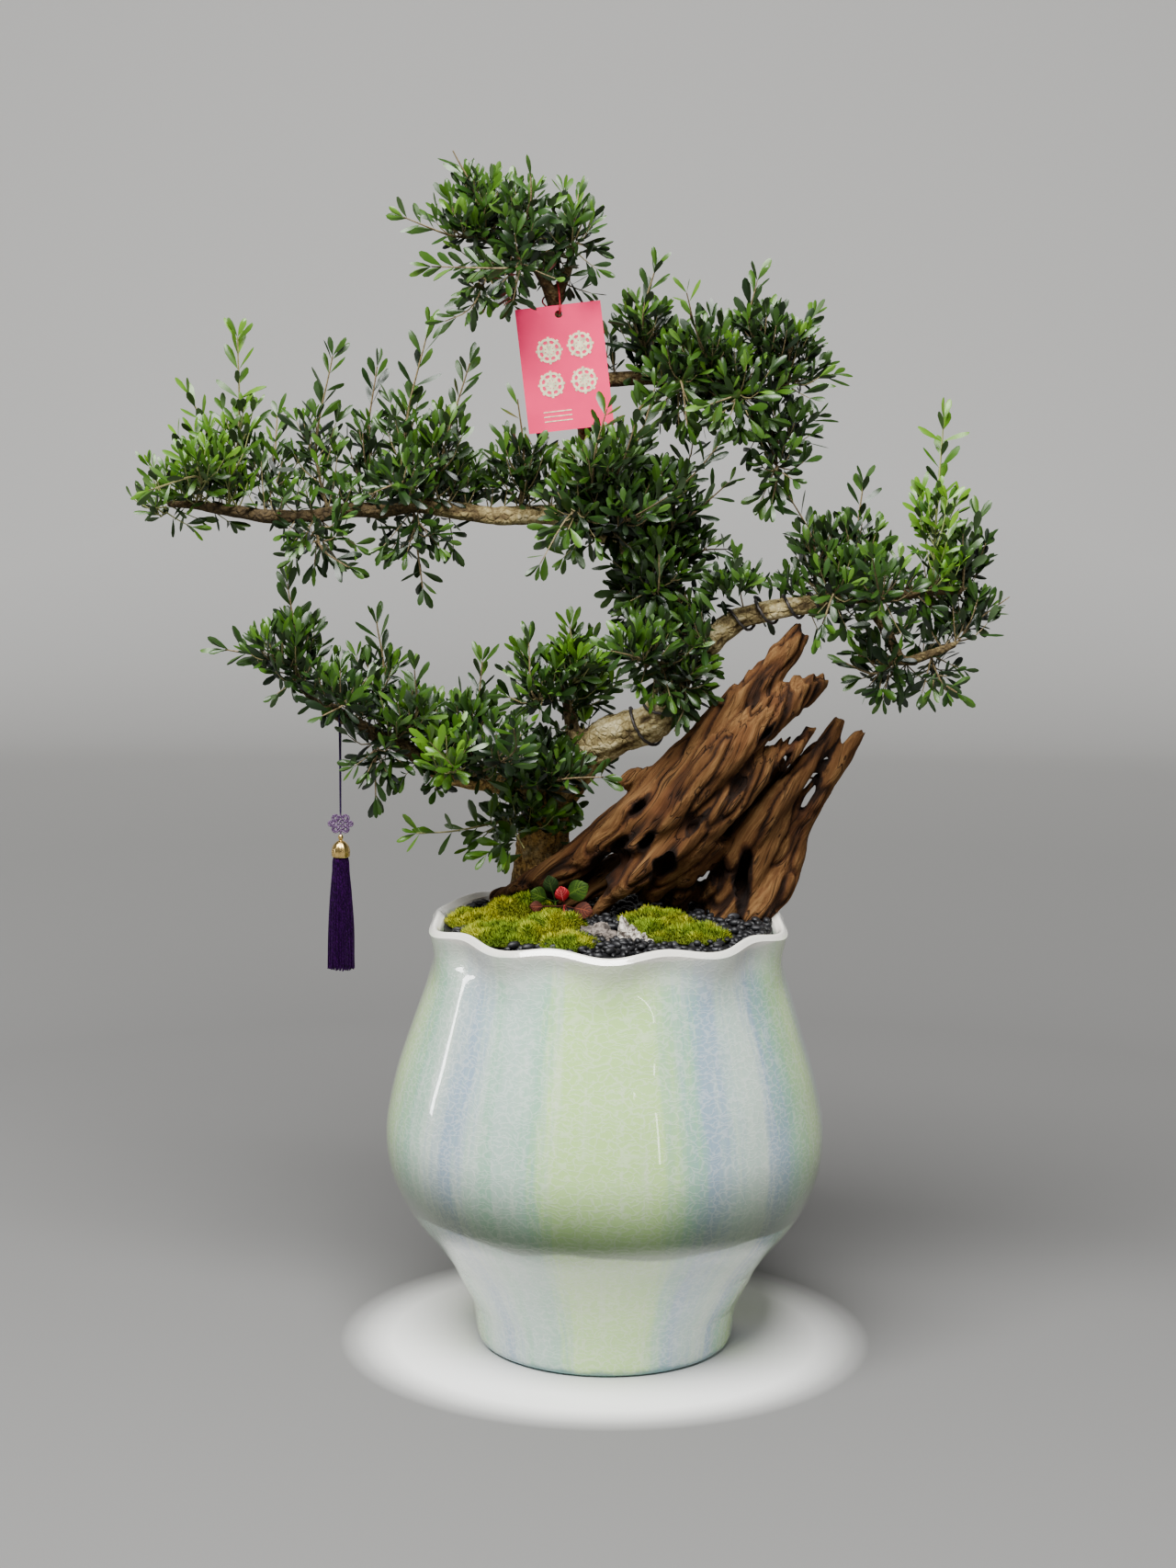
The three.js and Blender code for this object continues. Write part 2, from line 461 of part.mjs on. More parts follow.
// One leaf, widest past its middle and blunt at its end, lying on the line from its root
function makeLeaf(root, direction, face, length, width, thickness) {
  const along = direction.clone().normalize();
  const side = new THREE.Vector3().crossVectors(along, face).normalize();
  const top = new THREE.Vector3().crossVectors(side, along);
  const spot = (forward, across, raised) => root.clone()
    .addScaledVector(along, forward * length)
    .addScaledVector(side, across * width)
    .addScaledVector(top, raised * thickness);
  const outline = [
    spot(0, 0, 0), spot(0.58, 0.5, 0), spot(0.96, 0.2, 0), spot(0.96, -0.2, 0), spot(0.58, -0.5, 0),
  ];
  const ridge = [spot(0.55, 0, 0.5), spot(0.55, 0, -0.5)];
  const points = [...outline, ...ridge];
  const faces = [];
  for (let i = 0; i < outline.length; i++) {
    const next = (i + 1) % outline.length;
    faces.push(i, next, outline.length);
    faces.push(next, i, outline.length + 1);
  }
  const geometry = new THREE.BufferGeometry();
  geometry.setAttribute("position", new THREE.Float32BufferAttribute(points.flatMap((p) => p.toArray()), 3));
  geometry.setIndex(faces);
  return solidOf(geometry);
}

function boxesMeet(a, b) {
  return [0, 1, 2].every((axis) => a.min[axis] < b.max[axis] && b.min[axis] < a.max[axis]);
}

// Whether a solid is clear of every solid in a list
function isClear(solid, others) {
  const own = solid.boundingBox();
  return others.every((other) => !boxesMeet(own, other.boundingBox()) || solid.intersect(other).volume() === 0);
}

// Line of one shoot: from its start, through the middle of its tuft, to its furthest tip
function shootLine(start, middle, tip, sway) {
  const bend = start.clone().lerp(middle, 0.5).add(sway);
  const through = middle.clone().addScaledVector(sway, 0.6);
  return new THREE.CatmullRomCurve3([start, bend, through, tip], false, "centripetal");
}

// The place on a limb nearest to a point, with the limb's radius there
function nearestOn(limbName, target) {
  const stops = LIMBS[limbName];
  const line = new THREE.CatmullRomCurve3(stops.map(toVector), false, "centripetal");
  const first = limbName === "trunk" ? 48 : 8;
  let best = null;
  for (let i = first; i <= 80; i++) {
    const point = line.getPointAt(i / 80);
    const stop = line.getUtoTmapping(i / 80) * (stops.length - 1);
    const before = Math.min(Math.floor(stop), stops.length - 2);
    const radius = THREE.MathUtils.lerp(stops[before][3], stops[before + 1][3], stop - before);
    if (!best || point.distanceTo(target) < best.point.distanceTo(target)) best = { point, radius };
  }
  return best;
}

// The bare stem of a twig from a share of its length on, to try its room
function bareTwig(line, extra, from) {
  const stops = [];
  for (let i = 0; i <= 4; i++) {
    const along = from + ((1 - from) * i) / 4;
    const point = line.getPointAt(along);
    stops.push([point.x, point.y, point.z, twigRadius(along)]);
  }
  return limb(stops, { sides: 4, step: line.getLength() / 4, extra });
}

// Share of a shoot's line at its lowest pair of leaves, where its side shoot starts too
function firstNode(line, from) {
  return 1 - Math.min(0.8 * (1 - from), LEAFY_LENGTH / line.getLength());
}

function twigRadius(along) {
  return TWIG_RADIUS * (1.1 - 0.5 * along);
}

// The lines of one spray's shoots, bent until they clear every other piece
function routeShoots([name, limbName, ...tufts], obstacles, bark, draw) {
  const lines = [];
  const starts = [];
  const stems = [];
  tufts.forEach(([middle, furthest]) => {
    const centre = toVector(middle);
    const end = toVector(furthest);
    end.addScaledVector(end.clone().sub(centre).normalize(), -0.8 * LEAF_LENGTH);
    const root = nearestOn(limbName, centre);
    const start = lines.length ? lines[0].getPointAt(firstNode(lines[0], starts[0])) : root.point;
    const hidden = lines.length ? 2 : root.radius + 7;
    let kept = null;
    let line = null;
    for (let attempt = 0; attempt < ATTEMPTS && !kept; attempt++) {
      const sway = new THREE.Vector3(draw() - 0.5, draw() - 0.5, draw() - 0.5);
      sway.multiplyScalar(2 + attempt * 1.6);
      line = shootLine(start, centre, end, sway);
      if (isClear(bareTwig(line, GAP, hidden / line.getLength()), [...obstacles, bark])) kept = line;
    }
    if (!kept) throw new Error(`${name} has a shoot that meets another piece`);
    let from = 0;
    while (!lines.length && !isClear(bareTwig(line, 0, from), [bark])) from += 0.5 / line.getLength();
    lines.push(line);
    starts.push(from);
    stems.push(bareTwig(line, 0, from));
  });
  return { name, lines, starts, stem: join(stems) };
}

// The six outer points of a leaf that grows out of a face with the given middle and sides
function leafPoints(middle, direction, side, size) {
  const across = side.clone().addScaledVector(direction, -side.dot(direction)).normalize();
  const raised = new THREE.Vector3().crossVectors(direction, across);
  const [length, width, thickness] = [LEAF_LENGTH * size, LEAF_WIDTH * size, LEAF_THICKNESS];
  const spot = (forward, wide, up) => middle.clone()
    .addScaledVector(direction, forward * length)
    .addScaledVector(across, wide * width)
    .addScaledVector(raised, up * thickness);
  return [
    spot(0.58, -0.5, 0), spot(0.58, 0.5, 0), spot(0.5, 0, 0.5), spot(0.5, 0, -0.5),
    spot(0.96, -0.2, 0), spot(0.96, 0.2, 0),
  ];
}

// Faces of a leaf on the face p0 p1 p2 p3 of its stem, given its left, right, upper, lower and end points
const LEAF_FACES = ([p0, p1, p2, p3], [left, right, upper, lower, endLeft, endRight]) => [
  p0, p1, lower, p1, right, lower, p1, p2, right, p2, upper, right,
  p2, p3, upper, p3, left, upper, p3, p0, left, p0, lower, left,
  left, endLeft, upper, upper, endLeft, endRight, upper, endRight, right,
  lower, endRight, endLeft, left, lower, endLeft, lower, right, endRight,
];

// One leafy shoot: a square stem whose faces open into leaves in crossed pairs, with one at its end
function growShoot(line, from, obstacles, ownLeaves, draw) {
  const length = line.getLength();
  const frames = line.computeFrenetFrames(FRAMES, false);
  const leafy = 1 - firstNode(line, from);
  const halfNode = NODE_HEIGHT / 2 / length;
  const nodes = [];
  for (let pair = LEAF_PAIRS; pair > 0; pair--) nodes.push(1 - (leafy * pair) / LEAF_PAIRS);
  const isLong = (nodes[0] - from) * length > BARE_LENGTH;
  const stations = isLong ? [from, (from + nodes[0]) / 2] : [from];
  const bareRings = stations.length;
  nodes.forEach((along) => stations.push(along - halfNode, along + halfNode));
  stations.push(1);
  const points = [];
  const faces = [];
  stations.forEach((along) => {
    const frame = Math.round(along * FRAMES);
    const centre = line.getPointAt(along);
    for (let corner = 0; corner < 4; corner++) {
      const angle = Math.PI / 4 + (corner * Math.PI) / 2;
      points.push(centre.clone()
        .addScaledVector(frames.normals[frame], Math.cos(angle) * twigRadius(along))
        .addScaledVector(frames.binormals[frame], Math.sin(angle) * twigRadius(along)));
    }
  });
  const closeOrLeaf = (corners, ahead, spread, size) => {
    const [c0, c1, c2, c3] = corners.map((corner) => points[corner]);
    const middle = c0.clone().add(c1).add(c2).add(c3).multiplyScalar(0.25);
    const side = c1.clone().sub(c0).normalize();
    const out = new THREE.Vector3().crossVectors(side, c3.clone().sub(c0)).normalize();
    for (let attempt = 0; attempt < 6; attempt++) {
      const aside = (draw() - 0.5) * (0.3 + 0.22 * attempt);
      const direction = out.clone().addScaledVector(ahead, spread).addScaledVector(side, aside).normalize();
      const blade = leafPoints(middle, direction, side, size);
      const roomFrom = (start) => makeLeaf(middle.clone().addScaledVector(direction, start), direction, ahead,
        LEAF_LENGTH * size + 0.6 - start, LEAF_WIDTH * size + 0.8, 2);
      const room = roomFrom(4);
      if (isClear(roomFrom(0), obstacles) && isClear(room, ownLeaves)) {
        const first = points.length;
        points.push(...blade);
        ownLeaves.push(room);
        faces.push(...LEAF_FACES(corners, blade.map((_, i) => first + i)));
        return;
      }
    }
    faces.push(corners[0], corners[1], corners[2], corners[0], corners[2], corners[3]);
  };
  faces.push(0, 2, 1, 0, 3, 2);
  for (let ring = 0; ring < stations.length - 1; ring++) {
    const isNode = ring >= bareRings && (ring - bareRings) % 2 === 0 && ring < stations.length - 2;
    const crossed = ((ring - bareRings) / 2) % 2;
    for (let corner = 0; corner < 4; corner++) {
      const next = (corner + 1) % 4;
      const corners = [4 * ring + corner, 4 * ring + next, 4 * ring + 4 + next, 4 * ring + 4 + corner];
      const ahead = frames.tangents[Math.round(stations[ring] * FRAMES)];
      if (isNode && corner % 2 === crossed) {
        closeOrLeaf(corners, ahead, 0.55 + 0.3 * draw(), 0.86 + 0.22 * draw());
      } else {
        faces.push(corners[0], corners[1], corners[2], corners[0], corners[2], corners[3]);
      }
    }
  }
  const last = 4 * (stations.length - 1);
  const sideways = frames.normals[FRAMES];
  closeOrLeaf([last, last + 1, last + 2, last + 3], sideways, 0.1, 0.8 + 0.15 * draw());
  const geometry = new THREE.BufferGeometry();
  geometry.setAttribute("position", new THREE.Float32BufferAttribute(points.flatMap((p) => p.toArray()), 3));
  geometry.setIndex(faces);
  return solidOf(geometry);
}

// An oval leaf of the nerve plant on its stalk
function nerveLeaf([footX, footY], [x, y, z, half]) {
  const middle = new THREE.Vector3(x, y, z);
  const rise = new THREE.Vector3(footX, footY, GRAVEL_TOP + NERVE_RISE - 2);
  const direction = middle.clone().sub(rise).normalize();
  const root = middle.clone().addScaledVector(direction, -half);
  const facing = new THREE.Vector3(0, -1, 0.4);
  const blade = makeLeaf(root, direction, facing, 2 * half, 1.5 * half, 1.2);
  const bend = rise.clone().lerp(root, 0.6);
  const end = root.clone().addScaledVector(direction, 2);
  const stops = [rise, bend, end].map((p) => [p.x, p.y, p.z, 0.9]);
  return join([blade, limb(stops, { sides: 3, step: 20 })]);
}

function nerveStem([x, y], extra = 0) {
  const stops = [[x, y, GRAVEL_TOP - 6, 1.4], [x, y, GRAVEL_TOP + NERVE_RISE, 1.2]];
  return limb(stops, { sides: 6, step: 30, extra });
}

function makeNervePlant({ foot, leaves }) {
  return join([nerveStem(foot), ...leaves.map((leaf) => nerveLeaf(foot, leaf))]);
}

// A plain cord along its route
function makeCord(route) {
  const section = new THREE.Shape().absarc(0, 0, CORD_RADIUS, 0, 2 * Math.PI, false);
  const corners = section.getPoints(CORD_SIDES / 2).slice(0, CORD_SIDES);
  const extrudePath = new THREE.CatmullRomCurve3(route.map(toVector), false, "centripetal");
  const steps = Math.round(extrudePath.getLength() / CORD_STEP);
  return solidOf(new THREE.ExtrudeGeometry(new THREE.Shape(corners), { steps, extrudePath }));
}

// Greeting tag: a stiff card with a round hole at its head
function makeTag() {
  const [width, height, thickness] = TAG_SIZE;
  const card = new THREE.Shape();
  card.moveTo(-width / 2, -height / 2);
  card.lineTo(width / 2, -height / 2);
  card.lineTo(width / 2, height / 2);
  card.lineTo(-width / 2, height / 2);
  card.holes.push(new THREE.Path().absarc(0, TAG_HOLE_UP, TAG_HOLE_RADIUS, 0, 2 * Math.PI, true));
  const options = { depth: thickness, bevelEnabled: false, curveSegments: 10 };
  const geometry = new THREE.ExtrudeGeometry(card, options);
  geometry.translate(0, 0, -thickness / 2).rotateX(Math.PI / 2).rotateY(-toRadians(TAG_LEAN));
  return solidOf(geometry.translate(...TAG_CENTRE));
}

// Knot charm: a woven square on its corner with a loop on each side
function makeCharm() {
  const middle = (CHARM.top + CHARM.bottom) / 2;
  const half = (CHARM.top - CHARM.bottom) / 2;
  const weave = new THREE.BoxGeometry(1.05 * half, 2.4, 1.05 * half).rotateY(Math.PI / 4);
  const pieces = [solidOf(weave.translate(CHARM.x, CHARM.y, middle))];
  for (const turn of [0, 90, 180, 270]) {
    const reach = half - CHARM.loop - CHARM.cord + (turn % 180 === 0 ? 1.6 : 0);
    const [x, z] = [reach * Math.cos(toRadians(turn)), reach * Math.sin(toRadians(turn))];
    const loop = new THREE.TorusGeometry(CHARM.loop, CHARM.cord, 3, 8).rotateX(Math.PI / 2);
    pieces.push(solidOf(loop.translate(CHARM.x + x, CHARM.y, middle + z)));
  }
  return join(pieces);
}

function turnedAt(profile, x, y, segments) {
  const points = profile.map(([radius, height]) => new THREE.Vector2(radius, height));
  return solidOf(new THREE.LatheGeometry(points, segments).rotateX(Math.PI / 2).translate(x, y, 0));
}

// Tassel skirt: threads hanging close, as ribs round it
function makeSkirt() {
  const { top, bottom, topRadius, neckRadius, bottomRadius, ribs, relief } = SKIRT;
  const profile = [
    [0, bottom], [bottomRadius, bottom], [0.85 * bottomRadius, bottom + 35], [neckRadius + 0.8, top - 25],
    [neckRadius, top - 6], [topRadius, top], [0, top],
  ].map(([radius, height]) => new THREE.Vector2(radius, height));
  const geometry = new THREE.LatheGeometry(profile, 2 * ribs).rotateX(Math.PI / 2);
  const place = geometry.getAttribute("position");
  for (let i = 0; i < place.count; i++) {
    const [x, y, z] = [place.getX(i), place.getY(i), place.getZ(i)];
    const radius = Math.hypot(x, y);
    const rib = radius > 1 ? 1 + (relief * Math.cos(ribs * Math.atan2(x, -y))) / radius : 1;
    place.setXYZ(i, CHARM.x + x * rib, CHARM.y + y * rib, z);
  }
  return solidOf(geometry);
}

// The pieces in the pot
const tree = makeTree();
const treeRoom = makeTree(GAP);
const driftwood = makeDriftwood();
const driftwoodRoom = makeDriftwood(GAP);
const bed = makeBed();
const stoneFlat = largest(makeStone(STONE_FLAT, 5).intersect(bed));
const stoneUpright = largest(makeStone(STONE_UPRIGHT, 8).intersect(bed));
const stoneRoom = join([makeStone(STONE_FLAT.map((v, i) => v + (i > 1 ? 0.6 : 0)), 5),
  makeStone(STONE_UPRIGHT.map((v, i) => v + (i > 1 ? 0.6 : 0)), 8)]);
const nerveRoom = join([nerveStem(NERVE_GREEN.foot, GAP), nerveStem(NERVE_RED.foot, GAP)]);
const nerveGreen = makeNervePlant(NERVE_GREEN);
const nerveRed = makeNervePlant(NERVE_RED);
const plantHoles = join([treeRoom, nerveRoom]);
const mossCuts = join([driftwoodRoom, stoneRoom, nerveRoom, treeRoom]);
const mossLeft = largest(makeMoss(MOSS_LEFT).intersect(bed).subtract(mossCuts));
const mossRight = largest(makeMoss(MOSS_RIGHT).intersect(bed).subtract(mossCuts));

addPiece("pot", makePot(), 0xc9d8cd, 0.12);
addPiece("soil", largest(makeSoil(plantHoles)), 0x2b211a, 0.95);
addPiece("gravel", largest(makeGravel(plantHoles)), 0x1c1c1e, 0.4);
addPiece("moss_left", mossLeft, 0x8a9a22, 0.95);
addPiece("moss_right", mossRight, 0x7f9022, 0.95);
addPiece("stone_flat", stoneFlat, 0x84807c, 0.9);
addPiece("stone_upright", stoneUpright, 0xb9ae9c, 0.85);
addPiece("driftwood", driftwood, 0x6b4527, 0.85);
addPiece("trunk_and_branches", tree, 0x9c8a66, 0.85);
addPiece("nerve_plant_green", nerveGreen, 0x3d5a1e, 0.5);
addPiece("nerve_plant_red", nerveRed, 0xb02a38, 0.5);

// The wires, the tag and the tassel
const wireUpper = makeWire(LIMBS.right, 0.2, 0.62, 4.5, treeRoom);
const wireLower = makeWire(LIMBS.trunk, 0.74, 0.86, 1.8, treeRoom);
const tag = makeTag();
const tagThread = makeCord(TAG_THREAD_ROUTE);
const tasselCord = makeCord(TASSEL_ROUTE);
const charm = makeCharm();
addPiece("training_wire_upper", wireUpper, 0x2e2b29, 0.5, 0.6);
addPiece("training_wire_lower", wireLower, 0x2e2b29, 0.5, 0.6);
addPiece("greeting_tag", tag, 0xe8556b, 0.7);
addPiece("tag_thread", tagThread, 0x8c1f24, 0.8);
addPiece("tassel_cord", tasselCord, 0x2a1638, 0.8);
addPiece("knot_charm", charm, 0x8f86a8, 0.4, 0.5);
addPiece("tassel_cap", turnedAt(CAP_PROFILE, CHARM.x, CHARM.y, 12), 0xc79a3a, 0.3, 1);
addPiece("tassel_skirt", makeSkirt(), 0x3a0f66, 0.6);

// The leafy sprays: all lines first, then their leaves
const draw = makeDraw(2024);
const standing = [driftwoodRoom, wireUpper, wireLower, tag, tagThread, tasselCord, charm];
const routes = [];
for (const rule of SPRAYS) {
  routes.push(routeShoots(rule, [...standing, ...routes.map((route) => route.stem)], treeRoom, draw));
}
const finished = [];
routes.forEach((route, index) => {
  const later = routes.slice(index + 1).map((other) => other.stem);
  const obstacles = [...standing, treeRoom, ...later, ...finished];
  const ownLeaves = [];
  const shoots = route.lines.map((line, i) => growShoot(line, route.starts[i], obstacles, ownLeaves, draw));
  const whole = largest(join(shoots));
  finished.push(whole);
  addPiece(route.name, whole, index % 3 === 0 ? 0x355c26 : 0x28491f, 0.45);
});

export default bonsai;
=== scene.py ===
"""Potted boxwood bonsai: the looks of the tree, its pot and what hangs on it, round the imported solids.

The tables are in millimetres in the part's own frame; meshes are written in metres.
"""
import logging
import math
from dataclasses import dataclass, field
from enum import Enum
from typing import Callable, Optional, Sequence, Union

import bpy
import numpy as np
from mathutils import Matrix, Vector, noise


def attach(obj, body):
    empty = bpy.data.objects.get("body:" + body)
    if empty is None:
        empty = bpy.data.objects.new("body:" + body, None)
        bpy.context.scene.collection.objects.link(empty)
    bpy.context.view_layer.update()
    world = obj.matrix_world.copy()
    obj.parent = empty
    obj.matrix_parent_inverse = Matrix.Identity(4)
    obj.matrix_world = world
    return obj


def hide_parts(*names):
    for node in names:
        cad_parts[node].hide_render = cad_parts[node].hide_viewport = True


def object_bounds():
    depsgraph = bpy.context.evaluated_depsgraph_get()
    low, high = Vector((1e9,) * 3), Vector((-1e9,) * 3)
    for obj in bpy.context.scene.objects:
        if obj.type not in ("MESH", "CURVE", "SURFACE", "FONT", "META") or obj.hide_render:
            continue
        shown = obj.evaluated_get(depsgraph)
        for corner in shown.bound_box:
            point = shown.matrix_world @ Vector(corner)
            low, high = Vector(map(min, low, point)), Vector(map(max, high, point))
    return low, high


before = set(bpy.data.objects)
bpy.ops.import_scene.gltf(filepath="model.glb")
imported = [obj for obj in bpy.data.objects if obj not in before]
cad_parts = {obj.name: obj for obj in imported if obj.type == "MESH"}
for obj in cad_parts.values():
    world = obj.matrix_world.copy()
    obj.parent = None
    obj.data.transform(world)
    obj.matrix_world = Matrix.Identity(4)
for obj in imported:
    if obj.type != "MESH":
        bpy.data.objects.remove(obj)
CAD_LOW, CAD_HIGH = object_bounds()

logging.basicConfig(level=logging.INFO, format="%(message)s")
LOG = logging.getLogger("bonsai")

MM = 0.001
BODY = "root"
SEED = 20
Stops = Sequence[Sequence[float]]
Colour = tuple[float, float, float]

# Driving dimensions, in millimetres
GRAVEL_TOP = 374.0
SCALLOPS = 10
SCALLOP_OUT = 3.5
SCALLOP_DROP = 2.5
LOBES = 5
LOBE_OUT = 1.5
LOBE_TURN = math.radians(54)
BED_RADIUS = 143.4

# Limbs of the tree as x, y, z and radius
LIMBS: dict[str, Stops] = {
    "trunk": [
        (-60, 88, 305, 20), (-60, 88, 345, 25), (-60, 88, 392, 26), (-58, 83, 415, 24), (-57, 75, 440, 22),
        (-50, 65, 470, 20), (-38, 54, 492, 19), (-20, 42, 515, 18), (5, 32, 534, 17), (30, 26, 542, 16),
        (44, 22, 552, 15), (49, 24, 570, 14), (58, 30, 587, 13.5), (70, 35, 600, 13)],
    "right": [
        (70, 35, 600, 13), (90, 30, 620, 11), (110, 30, 635, 9.5), (140, 20, 645, 8.5), (165, 15, 650, 8),
        (190, 10, 655, 7.5), (215, 10, 660, 7), (245, 5, 660, 6), (270, 5, 665, 5), (300, 0, 665, 3.5)],
    "right_low": [
        (215, 10, 660, 6.5), (230, 5, 640, 5.5), (240, 0, 620, 5), (250, -5, 605, 4.5), (270, -5, 610, 4),
        (295, -5, 620, 3)],
    "right_end": [(250, -5, 605, 4.5), (235, -10, 605, 3.5), (210, -10, 610, 2.5)],
    "middle": [
        (70, 35, 600, 13), (65, 40, 620, 12), (55, 45, 650, 11), (45, 45, 670, 10.5), (30, 40, 685, 10),
        (5, 30, 705, 10), (-15, 25, 715, 9.5)],
    "left": [
        (-15, 25, 715, 9.5), (-45, 20, 725, 8.5), (-75, 15, 725, 8), (-100, 10, 725, 7.5),
        (-135, 5, 730, 7), (-165, 0, 735, 7), (-195, 0, 730, 6.5), (-225, -5, 730, 6.5), (-255, -10, 725, 6),
        (-290, -10, 725, 6), (-325, -10, 730, 5), (-355, -15, 735, 4), (-375, -15, 735, 3)],
    "up": [
        (-15, 25, 715, 9.5), (-10, 30, 750, 8.5), (-20, 40, 780, 8), (-25, 40, 810, 7.5),
        (-40, 40, 840, 6.5), (-48, 38, 870, 6), (-50, 35, 900, 5.5), (-57, 32, 920, 5), (-70, 25, 940, 4.5),
        (-90, 20, 950, 4), (-115, 20, 960, 3)],
    "up_right": [(-50, 35, 900, 5), (-44, 33, 918, 4.5), (-38, 30, 935, 4), (-35, 30, 950, 3)],
    "upper": [
        (-25, 40, 810, 7), (-15, 45, 835, 6.5), (10, 45, 840, 6), (40, 40, 840, 5.5), (75, 40, 830, 5),
        (100, 30, 830, 5), (130, 25, 830, 4), (150, 20, 840, 3)],
    "upper_tail": [(100, 30, 830, 4.5), (120, 25, 810, 4), (135, 20, 790, 3.5), (140, 15, 770, 2.5)],
    "low": [
        (-50, 65, 470, 12), (-70, 52, 480, 10), (-95, 35, 490, 9), (-120, 20, 495, 8), (-150, 10, 505, 7.5),
        (-175, 0, 525, 7), (-205, -5, 540, 6.5), (-230, -10, 555, 6), (-250, -15, 570, 5),
        (-270, -20, 590, 4)],
    "low_up": [(-20, 42, 515, 10), (-30, 40, 530, 7), (-35, 40, 550, 5), (-40, 35, 575, 3.5)],
    "middle_front": [(55, 45, 650, 9), (45, 30, 630, 7), (40, 10, 610, 5), (30, -10, 600, 3.5)],
}

# Strands of the driftwood as x, y, z and radius, from the foot up along the grain
STRANDS: list[Stops] = [
    [(-102, 70, 379, 7), (-92, 62, 383, 9), (-66, 42, 400, 12), (-26, 36, 426, 14), (5, 28, 453, 15),
     (30, 22, 478, 15), (56, 18, 507, 15), (81, 14, 534, 14), (106, 12, 563, 14), (130, 12, 583, 13.5),
     (150, 16, 607, 12), (165, 20, 627, 9)],
    [(53, 26, 497, 12), (32, 24, 498, 9), (18, 22, 496, 8), (9, 20, 491, 4)],
    [(0, 20, 405, 8), (30, 5, 450, 15), (65, 0, 485, 20), (100, -5, 525, 20), (135, 0, 555, 17),
     (165, 10, 575, 13), (185, 15, 586, 6)],
    [(35, 30, 390, 9), (65, 10, 440, 16), (100, 0, 480, 18), (130, 5, 510, 15), (155, 10, 525, 10),
     (175, 20, 542, 4)],
    [(85, 50, 370, 10), (110, 25, 430, 15), (135, 20, 465, 15), (155, 20, 490, 12), (175, 25, 515, 9.5),
     (193, 30, 535, 8), (200, 30, 549, 5)],
    [(122, 22, 369, 12), (134, 26, 385, 14), (146, 34, 402, 18), (155, 40, 422, 16), (165, 38, 454, 13),
     (179, 32, 480, 11), (194, 30, 505, 9.5), (209, 26, 525, 7.5), (222, 25, 541, 3.5)],
    [(98, 30, 369, 13), (118, 30, 405, 17), (136, 30, 440, 16), (152, 30, 468, 11), (165, 32, 486, 6)],
    [(-45, 46, 379, 6), (-20, 50, 392, 10), (10, 52, 405, 13), (45, 50, 418, 14)],
    [(-73, 46, 388, 7), (-46, 38, 404, 9), (-14, 22, 432, 12), (22, 10, 467, 14), (61, 6, 497, 14)],
    [(-13, 26, 367, 6), (0, 20, 390, 8), (20, 5, 410, 11), (50, 0, 435, 14), (80, 5, 465, 15)],
    [(60, 58, 367, 9), (60, 40, 390, 12), (70, 25, 415, 14), (90, 10, 450, 15)],
    [(104, 74, 367, 9), (108, 58, 400, 12), (115, 40, 430, 13), (125, 25, 465, 13)],
    [(25, 45, 390, 8), (60, 42, 392, 9), (95, 55, 392, 9), (128, 42, 394, 9)],
    [(25, 60, 430, 16), (70, 50, 480, 20), (120, 42, 530, 18), (145, 35, 565, 12)],
    [(65, 75, 405, 14), (110, 60, 455, 20), (150, 50, 505, 14)],
    [(30, 15, 460, 20), (75, 10, 505, 24), (118, 10, 545, 19), (140, 15, 572, 12)],
    [(-62, 58, 384, 6), (-24, 58, 398, 12), (15, 60, 412, 15), (55, 56, 428, 16), (100, 50, 440, 14)],
]

# Hollows of the driftwood: x, y, z, half length along the grain, half width, half depth, lean in degrees
HOLLOWS: list[Sequence[float]] = [
    (174, 28, 479, 18, 3.2, 34, 60), (187, 28, 512, 18, 2.0, 30, 62), (80, 20, 406, 5, 3, 70, 80),
    (111, -24, 498, 13, 4.5, 21, 62), (133, -20, 541, 15, 3.0, 18, 55), (47, -4, 424, 14, 8, 30, 62),
    (80, 0, 398, 9, 6, 30, 85), (-3, 2, 420, 24, 11, 30, 36), (118, 8, 410, 27, 8, 34, 88),
    (24, -6, 475, 12, 4, 20, 50), (97, 8, 412, 20, 6, 30, 80), (32, -2, 447, 13, 3.5, 22, 55),
    (147, 4, 512, 16, 3.5, 28, 58), (163, 14, 540, 16, 3.5, 28, 55), (74, -14, 462, 15, 2.5, 18, 52),
    (10, 2, 442, 11, 3, 22, 42),
]


class Vigour(Enum):
    """How young a spray's leaves look, from old dark growth to a fresh pale shoot."""

    OLD = 0.05
    MIXED = 0.12
    YOUNG = 0.42
    FRESH = 0.95


OLD, MIXED, YOUNG, FRESH = Vigour

